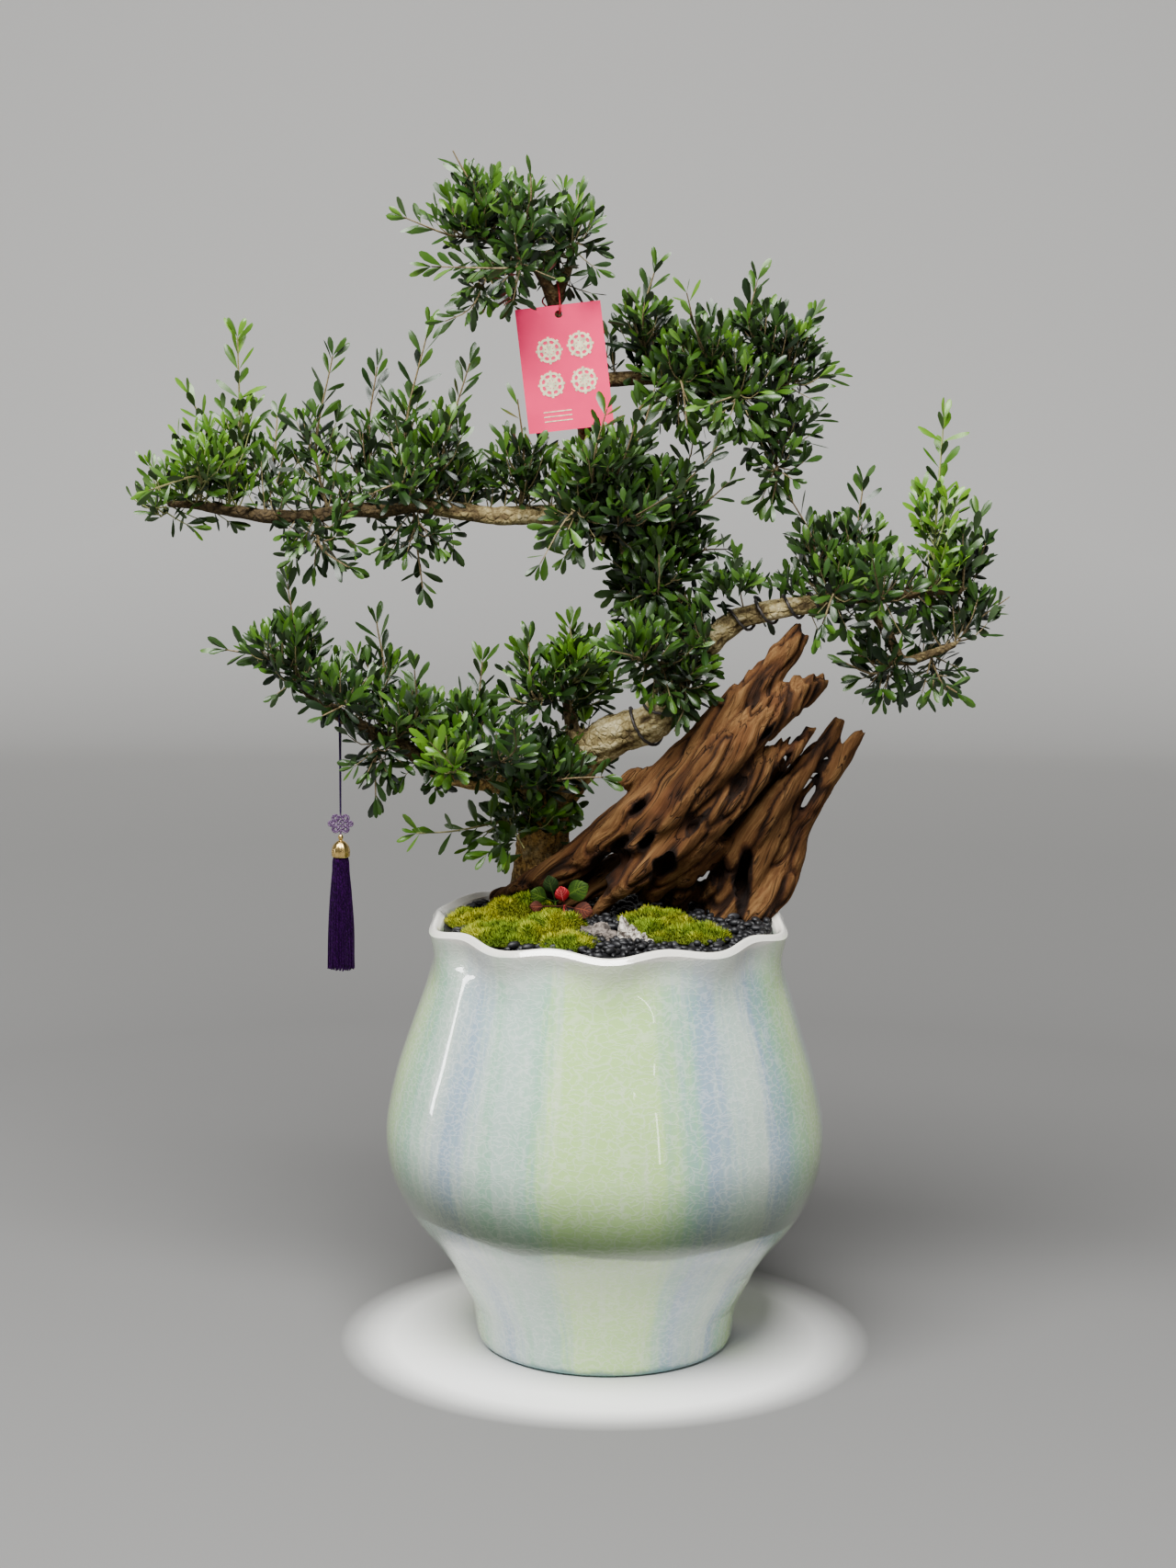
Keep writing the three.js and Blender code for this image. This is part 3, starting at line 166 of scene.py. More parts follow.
# Sprays: the limb that each grows from, how young it is, and x, y, z of each tuft's middle and of its tip
SPRAYS: dict[str, tuple[str, Vigour, Stops]] = {
    "top_left": ("up", MIXED, [(-135, -10, 960, -175, -20, 975), (-120, -20, 900, -140, -30, 890)]),
    "top_crown": ("up", MIXED, [(-115, 10, 990, -135, 0, 1030), (-100, 60, 970, -85, 90, 1000)]),
    "top_front": ("up", OLD, [(-70, -20, 985, -70, -30, 1020), (-80, -40, 935, -150, -60, 935)]),
    "top_right": ("up_right", MIXED, [(-35, 0, 955, -30, 10, 995), (-55, 50, 960, -15, 60, 950)]),
    "upper_inner": ("upper", MIXED, [
        (25, 0, 895, 35, -10, 935), (45, 60, 850, 25, 80, 880), (45, 40, 840, 25, 70, 870)]),
    "upper_front": ("upper", MIXED, [
        (70, -30, 880, 60, -50, 915), (100, -40, 830, 80, -70, 825), (58, -25, 838, 62, -35, 806)]),
    "upper_crown": ("upper", OLD, [(115, 0, 890, 120, -10, 925)]),
    "upper_end": ("upper", MIXED, [(150, 20, 865, 170, 30, 895), (165, 40, 840, 190, 55, 845)]),
    "upper_tail": ("upper_tail", OLD, [(145, 10, 790, 175, 30, 810), (140, -10, 765, 135, -20, 740)]),
    "middle_left": ("left", MIXED, [(-75, 0, 780, -80, -10, 825), (-10, 60, 745, -35, 80, 765)]),
    "middle_front": ("middle", MIXED, [
        (-15, -45, 780, -5, -60, 820), (12, -45, 785, 22, -60, 822), (-35, -30, 730, -60, -50, 690)]),
    "middle_crown": ("middle", MIXED, [
        (25, -10, 800, 35, -20, 835), (65, 30, 770, 70, 50, 790), (70, -20, 765, 88, -30, 788)]),
    "middle_right": ("middle", OLD, [
        (25, -60, 735, 45, -90, 750), (70, 0, 730, 100, 10, 755), (75, 20, 695, 100, 40, 695)]),
    "left_end": ("left", YOUNG, [(-380, -10, 725, -410, -20, 740), (-345, -40, 760, -385, -60, 750)]),
    "left_tall": ("left", YOUNG, [(-345, 20, 790, -360, 20, 825), (-315, -10, 795, -315, -10, 875)]),
    "left_third": ("left", MIXED, [(-250, -10, 780, -235, -15, 860), (-290, 40, 770, -290, 70, 805)]),
    "left_fourth": ("left", OLD, [(-210, 20, 780, -200, 20, 850), (-180, -50, 755, -200, -85, 750)]),
    "left_fifth": ("left", MIXED, [(-175, 0, 795, -155, 0, 885)]),
    "left_sixth": ("left", MIXED, [(-140, -10, 790, -120, -15, 855), (-125, 40, 740, -110, 70, 745)]),
    "left_under": ("left", OLD, [(-245, -25, 700, -220, -40, 685)]),
    "left_drop": ("left", OLD, [(-165, -5, 700, -160, -10, 665)]),
    "low_end": ("low", MIXED, [(-285, -30, 605, -325, -40, 615), (-265, -10, 592, -275, -10, 668)]),
    "low_under": ("low", OLD, [(-200, -20, 525, -200, -20, 485), (-225, -50, 570, -240, -80, 565)]),
    "low_third": ("low", MIXED, [(-195, 0, 585, -200, 0, 635), (-165, -30, 560, -165, -50, 600)]),
    "low_fourth": ("low", MIXED, [(-115, 10, 555, -110, 10, 600), (-155, 40, 540, -130, 80, 555)]),
    "low_front": ("low", YOUNG, [(-130, -55, 515, -150, -90, 545)]),
    "low_inner": ("low", OLD, [
        (-80, -70, 535, -80, -110, 560), (-35, 0, 500, -5, -20, 505), (-35, 20, 500, -5, 50, 505)]),
    "low_rise": ("low_up", MIXED, [(-65, 0, 570, -70, -5, 620)]),
    "low_right": ("low_up", YOUNG, [(-30, 20, 585, -35, 20, 630), (-20, 60, 560, -15, 80, 610)]),
    "trunk_base": ("trunk", YOUNG, [(-135, -10, 455, -165, -20, 455), (-95, 0, 440, -105, -10, 435)]),
    "fork_left": ("middle", MIXED, [
        (40, -20, 665, 40, -25, 705), (20, 60, 645, 10, 80, 670), (20, 30, 645, 10, 50, 670)]),
    "fork_front": ("middle_front", MIXED, [
        (25, -40, 610, 0, -70, 620), (65, 0, 575, 55, -20, 545), (65, 20, 580, 55, 50, 545)]),
    "fork_right": ("right", OLD, [(80, -30, 620, 105, -60, 635), (100, 0, 660, 105, 0, 690)]),
    "right_first": ("right", OLD, [(170, 0, 710, 150, 0, 745), (185, 50, 675, 215, 80, 690)]),
    "right_second": ("right", MIXED, [(210, 10, 710, 215, 20, 755), (185, -50, 665, 175, -80, 645)]),
    "right_front": ("right", OLD, [(225, -50, 665, 215, -85, 700)]),
    "right_tall": ("right", FRESH, [(275, 0, 700, 280, 0, 810)]),
    "right_back": ("right", OLD, [(305, 20, 680, 315, 30, 725), (280, 50, 640, 265, 85, 660)]),
    "right_low": ("right_low", OLD, [
        (310, 10, 635, 340, 0, 660), (280, 0, 590, 295, -20, 580), (225, -15, 595, 200, -25, 605)]),
}

# Where no leaf hides the wood or the tag: x from and to, z from and to, and the y up to which it is open
OPENINGS: Stops = [
    (-86, -34, 385, 446, 75), (-10, 56, 522, 560, 20), (84, 172, 606, 664, 26), (-84, -2, 826, 905, 10),
    (-84, -20, 790, 826, 10), (-66, -24, 905, 925, 30)]

# Moss cushions and chunks of stone as x, y, half width, half depth and height
MOSS_LEFT: Stops = [
    (-112, -8, 28, 30, 10), (-78, 20, 32, 28, 18), (-84, -62, 42, 40, 10), (-45, -28, 28, 34, 14),
    (-34, -92, 24, 28, 8)]
MOSS_RIGHT: Stops = [
    (32, -8, 22, 24, 13), (42, -52, 26, 32, 11), (76, -62, 28, 26, 9), (56, -20, 22, 24, 11)]
STONE_FLAT: Stops = [(-12, -50, 17, 14, 7), (-3, -53, 11, 12, 11), (-20, -44, 9, 9, 8), (2, -62, 8, 7, 6)]
STONE_UPRIGHT: Stops = [(14, -69, 9, 9, 26), (22, -75, 10, 8, 15), (29, -78, 6, 7, 8), (16, -78, 8, 6, 10)]

# Routes of the two cords, as in the part
TASSEL_ROUTE: Stops = [
    (-231, -11.1, 470.6), (-231, -11.2, 480), (-231, -12, 500), (-231, -14, 525), (-231, -17.3, 545),
    (-231, -18, 556), (-231, -15.5, 562.5), (-231, -10, 564.5), (-231, -4.5, 562.5), (-231, -2, 556),
    (-231, -2.7, 545), (-231, -6, 525), (-231, -8, 500), (-231, -8.8, 480), (-231, -8.9, 470.6)]
TAG_THREAD_ROUTE: Stops = [
    (-49, 41.5, 914), (-48, 38, 920), (-48.2, 32, 922), (-46.8, 26, 919), (-45.6, 17, 911),
    (-45, 9.5, 903), (-45, 8.5, 898.5), (-45.2, 10.5, 896), (-45.6, 14, 896), (-50, 18, 898),
    (-56, 24, 901), (-60, 31, 905), (-58.5, 38.5, 909), (-53, 42, 912)]
CORD_RADIUS = 0.8

# Depth of the grooves between a cord's strands, as a share of its radius
STRAND_GROOVE = 0.14

# Where the tag and the tassel's knot hang
TAG_CENTRE = np.array((-40.8, 12.0, 850.9))
TAG_LEAN = math.radians(6.9)
TAG_RIGHT = np.array((math.cos(TAG_LEAN), 0.0, math.sin(TAG_LEAN)))
TAG_UP = np.array((-math.sin(TAG_LEAN), 0.0, math.cos(TAG_LEAN)))
CHARM_PLACE = (-231.0, -10.0)
CHARM_TOP = 470.0


# Shader values and finishes

Value = Union["Signal", float, int, Colour]


class Signal:
    """A value on a socket of a material's nodes; its operators add the Math nodes that they stand for."""

    def __init__(self, recipe: "Recipe", socket: bpy.types.NodeSocket) -> None:
        """Keeps the recipe that the socket belongs to, and the socket."""
        self.recipe = recipe
        self.socket = socket

    def _join(self, operation: str, first: Value, second: Value) -> "Signal":
        """Adds one Math node, or a Vector Math node where a value is a vector.

        Args:
            operation: the node's operation.
            first: its first value.
            second: its second value.

        Returns:
            The node's result.
        """
        vectors = [value.socket.type == "VECTOR" if isinstance(value, Signal) else isinstance(value, tuple)
                   for value in (first, second)]
        kind = "ShaderNodeVectorMath" if any(vectors) else "ShaderNodeMath"
        return self.recipe.node(kind, {"operation": operation}, {0: first, 1: second})

    def __add__(self, other: Value) -> "Signal":
        """Sum."""
        return self._join("ADD", self, other)

    __radd__ = __add__

    def __sub__(self, other: Value) -> "Signal":
        """Difference."""
        return self._join("SUBTRACT", self, other)

    def __rsub__(self, other: Value) -> "Signal":
        """Difference, with this value taken away."""
        return self._join("SUBTRACT", other, self)

    def __mul__(self, other: Value) -> "Signal":
        """Product."""
        return self._join("MULTIPLY", self, other)

    __rmul__ = __mul__

    def fade(self, low: float, high: float) -> "Signal":
        """Goes smoothly from 0 where this value is low to 1 where it is high.

        Args:
            low: the value that gives 0.
            high: the value that gives 1.

        Returns:
            A share between 0 and 1.
        """
        inputs = {"Value": self, "From Min": low, "From Max": high}
        return self.recipe.node("ShaderNodeMapRange", {"interpolation_type": "SMOOTHSTEP"}, inputs)


class Recipe:
    """One material in the making."""

    def __init__(self, name: str) -> None:
        """Starts a material with nothing in it but its output.

        Args:
            name: the material's name.
        """
        self.material = bpy.data.materials.new(name)
        self.material.use_nodes = True
        self.tree = self.material.node_tree
        self.tree.nodes.clear()
        self.output = self.tree.nodes.new("ShaderNodeOutputMaterial")

    def node(self, kind: str, settings: Optional[dict] = None, inputs: Optional[dict] = None,
             result: Union[str, int] = 0) -> Signal:
        """Adds any node.

        Args:
            kind: the node's type.
            settings: its own settings, set first; a ramp's are its stops.
            inputs: values or links of its sockets, by name or number.
            result: which output is wanted.

        Returns:
            That output.
        """
        made = self.tree.nodes.new(kind)
        for key, value in (settings or {}).items():
            if key == "stops":
                self._set_stops(made.color_ramp, value)
            else:
                setattr(made, key, value)
        for key, value in (inputs or {}).items():
            self.feed(made.inputs[key], value)
        return Signal(self, made.outputs[result])

    def feed(self, socket: bpy.types.NodeSocket, value: Value) -> None:
        """Links a signal to a socket, or sets the socket's own value."""
        if isinstance(value, Signal):
            self.tree.links.new(value.socket, socket)
        elif isinstance(value, (tuple, list)) and socket.type == "RGBA":
            socket.default_value = (*value[:3], 1.0)
        else:
            socket.default_value = value

    @staticmethod
    def _set_stops(ramp: bpy.types.ColorRamp, stops: Sequence[tuple[float, Colour]]) -> None:
        """Sets a ramp's stops, as places and colours in order."""
        while len(ramp.elements) < len(stops):
            ramp.elements.new(0.5)
        for element, (place, colour) in zip(ramp.elements, stops):
            element.position = place
            element.color = (*colour, 1.0)

    def place(self) -> Signal:
        """The point on the piece, in metres, in the row's frame."""
        return self.node("ShaderNodeTexCoord", result="Object")

    def part(self, axis: int) -> Signal:
        """The x, y or z of that point."""
        return self.node("ShaderNodeSeparateXYZ", None, {0: self.place()}, result=axis)

    def tone(self, name: str) -> Signal:
        """A tone stored on the mesh's faces or corners."""
        return self.node("ShaderNodeAttribute", {"attribute_name": name}, result="Fac")

    def noise(self, scale: float, detail: float = 3.0, vector: Optional[Signal] = None,
              roughness: float = 0.55) -> Signal:
        """Noise between 0 and 1, with scale in cycles a metre unless a vector is given."""
        inputs = {"Scale": scale, "Detail": detail, "Roughness": roughness}
        return self.node("ShaderNodeTexNoise", None, {**inputs, "Vector": vector or self.place()})

    def cells(self, scale: float, vector: Optional[Signal] = None, edges: bool = False) -> Signal:
        """Distance to the middle of a cell, or to its edge."""
        settings = {"feature": "DISTANCE_TO_EDGE" if edges else "F1"}
        inputs = {"Scale": scale, "Vector": vector or self.place()}
        return self.node("ShaderNodeTexVoronoi", settings, inputs)

    def blend(self, first: Value, second: Value, share: Value, how: str = "MIX") -> Signal:
        """Mixes two colours."""
        settings = {"data_type": "RGBA", "blend_type": how}
        return self.node("ShaderNodeMix", settings, {"Factor": share, 6: first, 7: second}, result=2)

    def ramp(self, share: Value, stops: Sequence[tuple[float, Colour]]) -> Signal:
        """A colour from a ramp."""
        return self.node("ShaderNodeValToRGB", {"stops": stops}, {0: share})

    def bump(self, height: Signal, distance_mm: float, strength: float = 1.0) -> Signal:
        """Relief of a height from 0 to 1, as deep as the distance."""
        inputs = {"Height": height, "Distance": distance_mm * MM, "Strength": strength}
        return self.node("ShaderNodeBump", None, inputs)

    def surface(self, inputs: dict) -> bpy.types.Material:
        """Closes the recipe with its surface shader.

        Args:
            inputs: values or links of the shader's sockets.

        Returns:
            The finished material.
        """
        shader = self.node("ShaderNodeBsdfPrincipled", None, inputs)
        self.tree.links.new(shader.socket, self.output.inputs["Surface"])
        return self.material


def darker(colour: Colour, share: float) -> Colour:
    """A colour at a share of its brightness."""
    return tuple(share * part for part in colour)


@dataclass(frozen=True)
class Finish:
    """A finish that a piece can take."""

    name: str

    def mix(self, recipe: Recipe) -> dict:
        """Works out the finish.

        Args:
            recipe: the material in the making.

        Returns:
            Values or links of the surface shader's sockets.
        """
        raise NotImplementedError

    def material(self) -> bpy.types.Material:
        """The material of this finish, made once."""
        found = bpy.data.materials.get(self.name)
        if found is not None:
            return found
        recipe = Recipe(self.name)
        return recipe.surface(self.mix(recipe))


GREEN_BAND: Colour = (0.55, 0.83, 0.29)
TEAL_BAND: Colour = (0.34, 0.61, 0.44)
BLUE_BAND: Colour = (0.33, 0.45, 0.6)
HAZE_BAND: Colour = (0.51, 0.67, 0.6)
PALE_BAND: Colour = (0.62, 0.75, 0.66)
WHITE_BAND: Colour = (0.79, 0.86, 0.73)


@dataclass(frozen=True)
class CrackleGlaze(Finish):
    """Clear crackle glaze over soft vertical bands of colour."""

    # Degrees round the pot from its front, and the band's colour there
    bands: tuple[tuple[float, Colour], ...] = (
        (-180, BLUE_BAND), (-160, WHITE_BAND), (-145, GREEN_BAND), (-120, GREEN_BAND), (-108, TEAL_BAND),
        (-95, WHITE_BAND), (-80, GREEN_BAND), (-66, TEAL_BAND), (-56, PALE_BAND), (-45, BLUE_BAND),
        (-38, HAZE_BAND), (-34, TEAL_BAND), (-30, HAZE_BAND), (-20, TEAL_BAND), (-14, GREEN_BAND),
        (14, GREEN_BAND), (24, TEAL_BAND), (30, BLUE_BAND), (38, HAZE_BAND), (44, PALE_BAND),
        (50, BLUE_BAND), (58, TEAL_BAND), (72, GREEN_BAND), (92, BLUE_BAND), (105, WHITE_BAND),
        (122, GREEN_BAND), (150, TEAL_BAND), (168, HAZE_BAND))
    lip_height: float = 0.3725
    # Height of the sharp lower edge of the painted shade under the belly, and the height where that painted
    # shade has faded out
    belly_line: float = 0.125
    belly_shade_top: float = 0.205
    foot_height: float = 0.003
    crackle: tuple[float, float, float] = (90.0, 90.0, 225.0)

    def colour(self, recipe: Recipe) -> Signal:
        """Bands that run down the pot, a little wavy, with finer drips in them."""
        angle = {0: recipe.part(0), 1: recipe.part(1) * -1.0}
        around = recipe.node("ShaderNodeMath", {"operation": "ARCTAN2"}, angle)
        flat = recipe.place() * (1, 1, 0)
        out = recipe.node("ShaderNodeVectorMath", {"operation": "NORMALIZE"}, {0: flat})
        along = out + recipe.place() * (0, 0, 0.45)
        drift = recipe.noise(3.0, 3.0, along) - 0.5
        fine = recipe.noise(18.0, 5.0, along, 0.75) - 0.5
        share = around * (0.5 / math.pi) + 0.5 + drift * 0.04 + fine * 0.06
        stops = [((degrees + 180) / 360, colour) for degrees, colour in self.bands]
        streaks = recipe.noise(11.0, 5.0, along, 0.75).fade(0.5, 0.7)
        return recipe.blend(recipe.ramp(share, stops), WHITE_BAND, streaks * 0.4)

    def mix(self, recipe: Recipe) -> dict:
        """Bands, pale crackle lines, painted shade under the belly with a sharp lower edge, a lighter painted
        shade below that edge, a creamy lip and a dark foot.
        """
        height = recipe.part(2)
        wobble = recipe.noise(60.0, 3.0)
        shift = {0: recipe.noise(50.0, 2.0) * 2.0, 2: recipe.noise(70.0, 3.0) * 4.0}
        net = recipe.place() * self.crackle + recipe.node("ShaderNodeCombineXYZ", None, shift)
        lines = 1.0 - recipe.cells(1.0, net, edges=True).fade(0.0, 0.13)
        colour = self.colour(recipe)
        deep = recipe.blend(colour, (0.93, 0.95, 0.93), 1.0, "MULTIPLY")
        pale = recipe.blend(colour, (0.9, 0.93, 0.88), 0.5)
        colour = recipe.blend(deep, pale, lines * 0.6)
        # Painted shade: roll darkens the belly's downward-facing underside, most just above the belly line
        # and fading out higher up. Its sharp lower edge copies the edge of a reflection, as painted
        # reflection, and below adds a lighter painted shade under that line.
        uneven = height + (recipe.noise(9.0, 1.0) - 0.5) * 0.035
        above = uneven.fade(self.belly_line, self.belly_line + 0.004)
        roll = above * (1.0 - uneven.fade(self.belly_line + 0.005, self.belly_shade_top) * 0.96)
        below = (1.0 - above) * height.fade(0.055, 0.118) * 0.3
        colour = recipe.blend(colour, (0.19, 0.24, 0.15), roll + below, "MULTIPLY")
        upper = (height + wobble * 0.03).fade(0.348, 0.396)
        colour = recipe.blend(colour, (0.8, 0.8, 0.7), upper * 0.7)
        lip = (height + wobble * 0.004).fade(self.lip_height, self.lip_height + 0.004)
        colour = recipe.blend(colour, (0.88, 0.86, 0.77), lip)
        pooled = 1.0 - (height - wobble * 0.01).fade(self.foot_height - 0.006, self.foot_height)
        colour = recipe.blend(colour, (0.06, 0.2, 0.22), pooled * 0.85)
        return {"Base Color": colour, "Roughness": 0.12, "Coat Weight": 1.0, "Coat Roughness": 0.015,
                "Coat IOR": 1.75, "Normal": recipe.bump(lines, 0.3, 0.25)}


@dataclass(frozen=True)
class Pebbles(Finish):
    """Dark polished pebbles with a few greyer ones."""

    def mix(self, recipe: Recipe) -> dict:
        """Near black, each pebble of its own tone."""
        colour = recipe.ramp(recipe.tone("tone"), [
            (0.0, (0.002, 0.002, 0.003)), (0.8, (0.006, 0.006, 0.008)), (1.0, (0.03, 0.03, 0.035))])
        grain = recipe.noise(900.0, 2.0)
        return {"Base Color": colour, "Roughness": 0.42 + grain * 0.25,
                "Normal": recipe.bump(grain, 0.2, 0.4)}


@dataclass(frozen=True)
class Earth(Finish):
    """Damp dark soil."""

    def mix(self, recipe: Recipe) -> dict:
        """Crumbs of earth."""
        crumbs = recipe.noise(420.0, 5.0)
        colour = recipe.ramp(crumbs, [(0.3, (0.012, 0.008, 0.006)), (0.7, (0.05, 0.035, 0.025))])
        return {"Base Color": colour, "Roughness": 0.95, "Normal": recipe.bump(crumbs, 2.0)}


@dataclass(frozen=True)
class Moss(Finish):
    """Living moss, from deep green between the tufts to yellow-green tips."""

    def mix(self, recipe: Recipe) -> dict:
        """Tone by tuft, with yellower and greener patches."""
        patches = recipe.noise(28.0, 2.0).fade(0.35, 0.65)
        low = recipe.blend((0.01, 0.024, 0.002), (0.03, 0.042, 0.002), patches)
        high = recipe.blend((0.21, 0.31, 0.016), (0.5, 0.49, 0.03), patches)
        colour = recipe.blend(low, high, recipe.tone("tone"))
        return {"Base Color": colour, "Roughness": 0.9, "Specular IOR Level": 0.1}


@dataclass(frozen=True)
class Rock(Finish):
    """Rough weathered stone."""

    dark: Colour
    pale: Colour

    def mix(self, recipe: Recipe) -> dict:
        """Mottled, with darker pits."""
        mottle = recipe.noise(170.0, 6.0, None, 0.65)
        pits = recipe.cells(260.0)
        colour = recipe.blend(self.dark, self.pale, mottle.fade(0.4, 0.62))
        relief = mottle + pits * 0.4
        return {"Base Color": colour, "Roughness": 0.85, "Normal": recipe.bump(relief, 2.6)}


@dataclass(frozen=True)
class WeatheredWood(Finish):
    """Driftwood, warm brown, with fibres and thin dark cracks along its grain, and painted shade that turns
    its hollows near black and darkens its grooves and its foot.
    """

    def lines(self, recipe: Recipe, along: float, across: float, detail: float) -> Signal:
        """Noise that is drawn out along the grain, whose run is stored on the mesh."""
        run = {axis: recipe.tone(name) for axis, name in enumerate(("along", "across", "deep"))}
        place = recipe.node("ShaderNodeCombineXYZ", None, run)
        return recipe.noise(1.0, detail, place * (along, across, across), 0.65)

    def mix(self, recipe: Recipe) -> dict:
        """Fibres and cracks over the ridge tone stored on the mesh, which carries painted shade in grooves
        and hollows, with more painted shade at the foot.
        """
        fibres = self.lines(recipe, 15.0, 420.0, 5.0)
        broad = self.lines(recipe, 9.0, 100.0, 4.0)
        split = self.lines(recipe, 7.0, 85.0, 2.0) - 0.5
        off_crack = recipe.node("ShaderNodeMath", {"operation": "ABSOLUTE"}, {0: split})
        cracks = (1.0 - off_crack.fade(0.0, 0.022)) * recipe.noise(38.0, 2.0).fade(0.42, 0.56)
        ridge = recipe.tone("ridge")
        # The ridge tone carries painted shade: it is low in grooves, cracks and hollows, so the wood is
        # darkest there.
        share = ridge * 0.56 + fibres * 0.42 + broad * 0.22
        colour = recipe.ramp(share, [
            (0.25, (0.002, 0.0008, 0.0004)), (0.46, (0.022, 0.008, 0.002)), (0.64, (0.062, 0.024, 0.0065)),
            (0.82, (0.096, 0.041, 0.0115)), (1.0, (0.215, 0.115, 0.04))])
        stain = recipe.noise(26.0, 3.0).fade(0.45, 0.7)
        colour = recipe.blend(colour, (0.11, 0.036, 0.01), stain * 0.35)
        # Painted shade: damp darkens the wood near its foot, except on its highest ridges.
        damp = (1.0 - (recipe.part(2) + broad * 0.03).fade(0.385, 0.425)) * (1.0 - ridge.fade(0.5, 0.9))
        colour = recipe.blend(colour, (0.006, 0.002, 0.001), damp * 0.8)
        colour = recipe.blend(colour, (0.008, 0.003, 0.001), cracks * 0.75)
        relief = fibres * 0.5 + broad * 0.5 - cracks * 0.4
        return {"Base Color": colour, "Roughness": 0.85, "Specular IOR Level": 0.2,
                "Normal": recipe.bump(relief, 3.6, 1.0)}


@dataclass(frozen=True)
class CorkyBark(Finish):
    """Pale corky bark that flakes to yellow-brown, darker on the thin twigs."""

    def mix(self, recipe: Recipe) -> dict:
        """Plates and cracks over the depth stored on the mesh."""
        plates = recipe.noise(260.0, 5.0, None, 0.7)
        cracks = recipe.cells(170.0, None, edges=True).fade(0.0, 0.22)
        share = recipe.tone("ridge") * 0.5 + plates * 0.6 + cracks * 0.06
        colour = recipe.ramp(share, [
            (0.26, (0.02, 0.013, 0.006)), (0.46, (0.1, 0.068, 0.028)), (0.64, (0.32, 0.25, 0.105)),
            (0.88, (0.6, 0.52, 0.3))])
        low = (1.0 - recipe.part(2).fade(0.47, 0.52)) * recipe.noise(40.0, 3.0).fade(0.2, 0.5)
        amber = recipe.blend((0.1, 0.04, 0.008), (0.62, 0.34, 0.085), plates.fade(0.4, 0.6))
        colour = recipe.blend(colour, amber, low * 0.8)
        return {"Base Color": colour, "Roughness": 0.88, "Specular IOR Level": 0.25,
                "Normal": recipe.bump(plates * 0.6 + cracks * 0.6, 1.3)}


@dataclass(frozen=True)
class Leaf(Finish):
    """Small glossy leaf, dark when old and pale yellow-green when young, matt and grey-green below."""

    def mix(self, recipe: Recipe) -> dict:
        """Tone and youth by leaf, greyer below; the tone carries some painted shade, darker towards each
        shoot's foot.
        """
        tone = recipe.tone("tone")
        old = recipe.ramp(tone, [
            (0.0, (0.0012, 0.0045, 0.001)), (0.4, (0.0046, 0.017, 0.002)), (0.75, (0.016, 0.05, 0.005)),
            (1.0, (0.052, 0.115, 0.015))])
        young = recipe.blend((0.028, 0.105, 0.003), (0.135, 0.3, 0.007), tone)
        colour = recipe.blend(old, young, recipe.tone("young"))
        under = recipe.blend(colour, (0.075, 0.12, 0.05), 0.5)
        colour = recipe.blend(colour, under, recipe.tone("under"))
        mottle = recipe.noise(600.0, 2.0)
        colour = recipe.blend(colour, (0.0, 0.0, 0.0), mottle.fade(0.5, 0.8) * 0.18)
        rough = 0.32 + recipe.tone("under") * 0.3 + mottle * 0.08
        return {"Base Color": colour, "Roughness": rough, "Normal": recipe.bump(mottle, 0.12, 0.3)}


@dataclass(frozen=True)
class Twig(Finish):
    """Twigs, brown where old and pale yellow-green towards the tips."""

    def mix(self, recipe: Recipe) -> dict:
        """Colour by youth, with small lenticels."""
        marks = recipe.noise(700.0, 3.0)
        old = recipe.blend((0.075, 0.045, 0.02), (0.21, 0.145, 0.07), marks.fade(0.35, 0.65))
        colour = recipe.blend(old, (0.34, 0.42, 0.12), recipe.tone("young"))
        return {"Base Color": colour, "Roughness": 0.75, "Normal": recipe.bump(marks, 0.3, 0.5)}


@dataclass(frozen=True)
class Threads(Finish):
    """Fine silky thread, twisted."""

    colour: Colour
    pale: Colour
    twist: float = 900.0
    slant: tuple[float, float, float] = (0.5, 0.4, 0.0)

    def mix(self, recipe: Recipe) -> dict:
        """Slanted strands of the twist."""
        turned = recipe.node("ShaderNodeVectorRotate", {"rotation_type": "EULER_XYZ"},
                             {"Vector": recipe.place(), "Rotation": self.slant})
        strands = recipe.noise(1.0, 2.0, turned * (self.twist, self.twist, self.twist * 0.25))
        colour = recipe.blend(self.colour, self.pale, strands.fade(0.42, 0.66))
        return {"Base Color": colour, "Roughness": 0.6, "Specular IOR Level": 0.12,
                "Normal": recipe.bump(strands, 0.15, 0.6)}


@dataclass(frozen=True)
class Metal(Finish):
    """Metal, plated or annealed."""

    colour: Colour
    roughness: float
    metallic: float = 1.0

    def mix(self, recipe: Recipe) -> dict:
        """Slightly uneven in tone and gloss."""
        wear = recipe.noise(260.0, 4.0)
        colour = recipe.blend(darker(self.colour, 0.55), self.colour, wear.fade(0.3, 0.6))
        return {"Base Color": colour, "Metallic": self.metallic, "Roughness": self.roughness + wear * 0.12,
                "Normal": recipe.bump(wear, 0.1, 0.4)}


@dataclass(frozen=True)
class Card(Finish):
    """Stiff printed card with a faint tooth."""

    colour: Colour

    def mix(self, recipe: Recipe) -> dict:
        """Even colour with fine fibres."""
        fibres = recipe.noise(1500.0, 3.0)
        broad = recipe.noise(30.0, 2.0)
        colour = recipe.blend(darker(self.colour, 0.9), self.colour, broad.fade(0.3, 0.7))
        return {"Base Color": colour, "Roughness": 0.6 + fibres * 0.15, "Specular IOR Level": 0.2,
                "Normal": recipe.bump(fibres, 0.05, 0.5)}


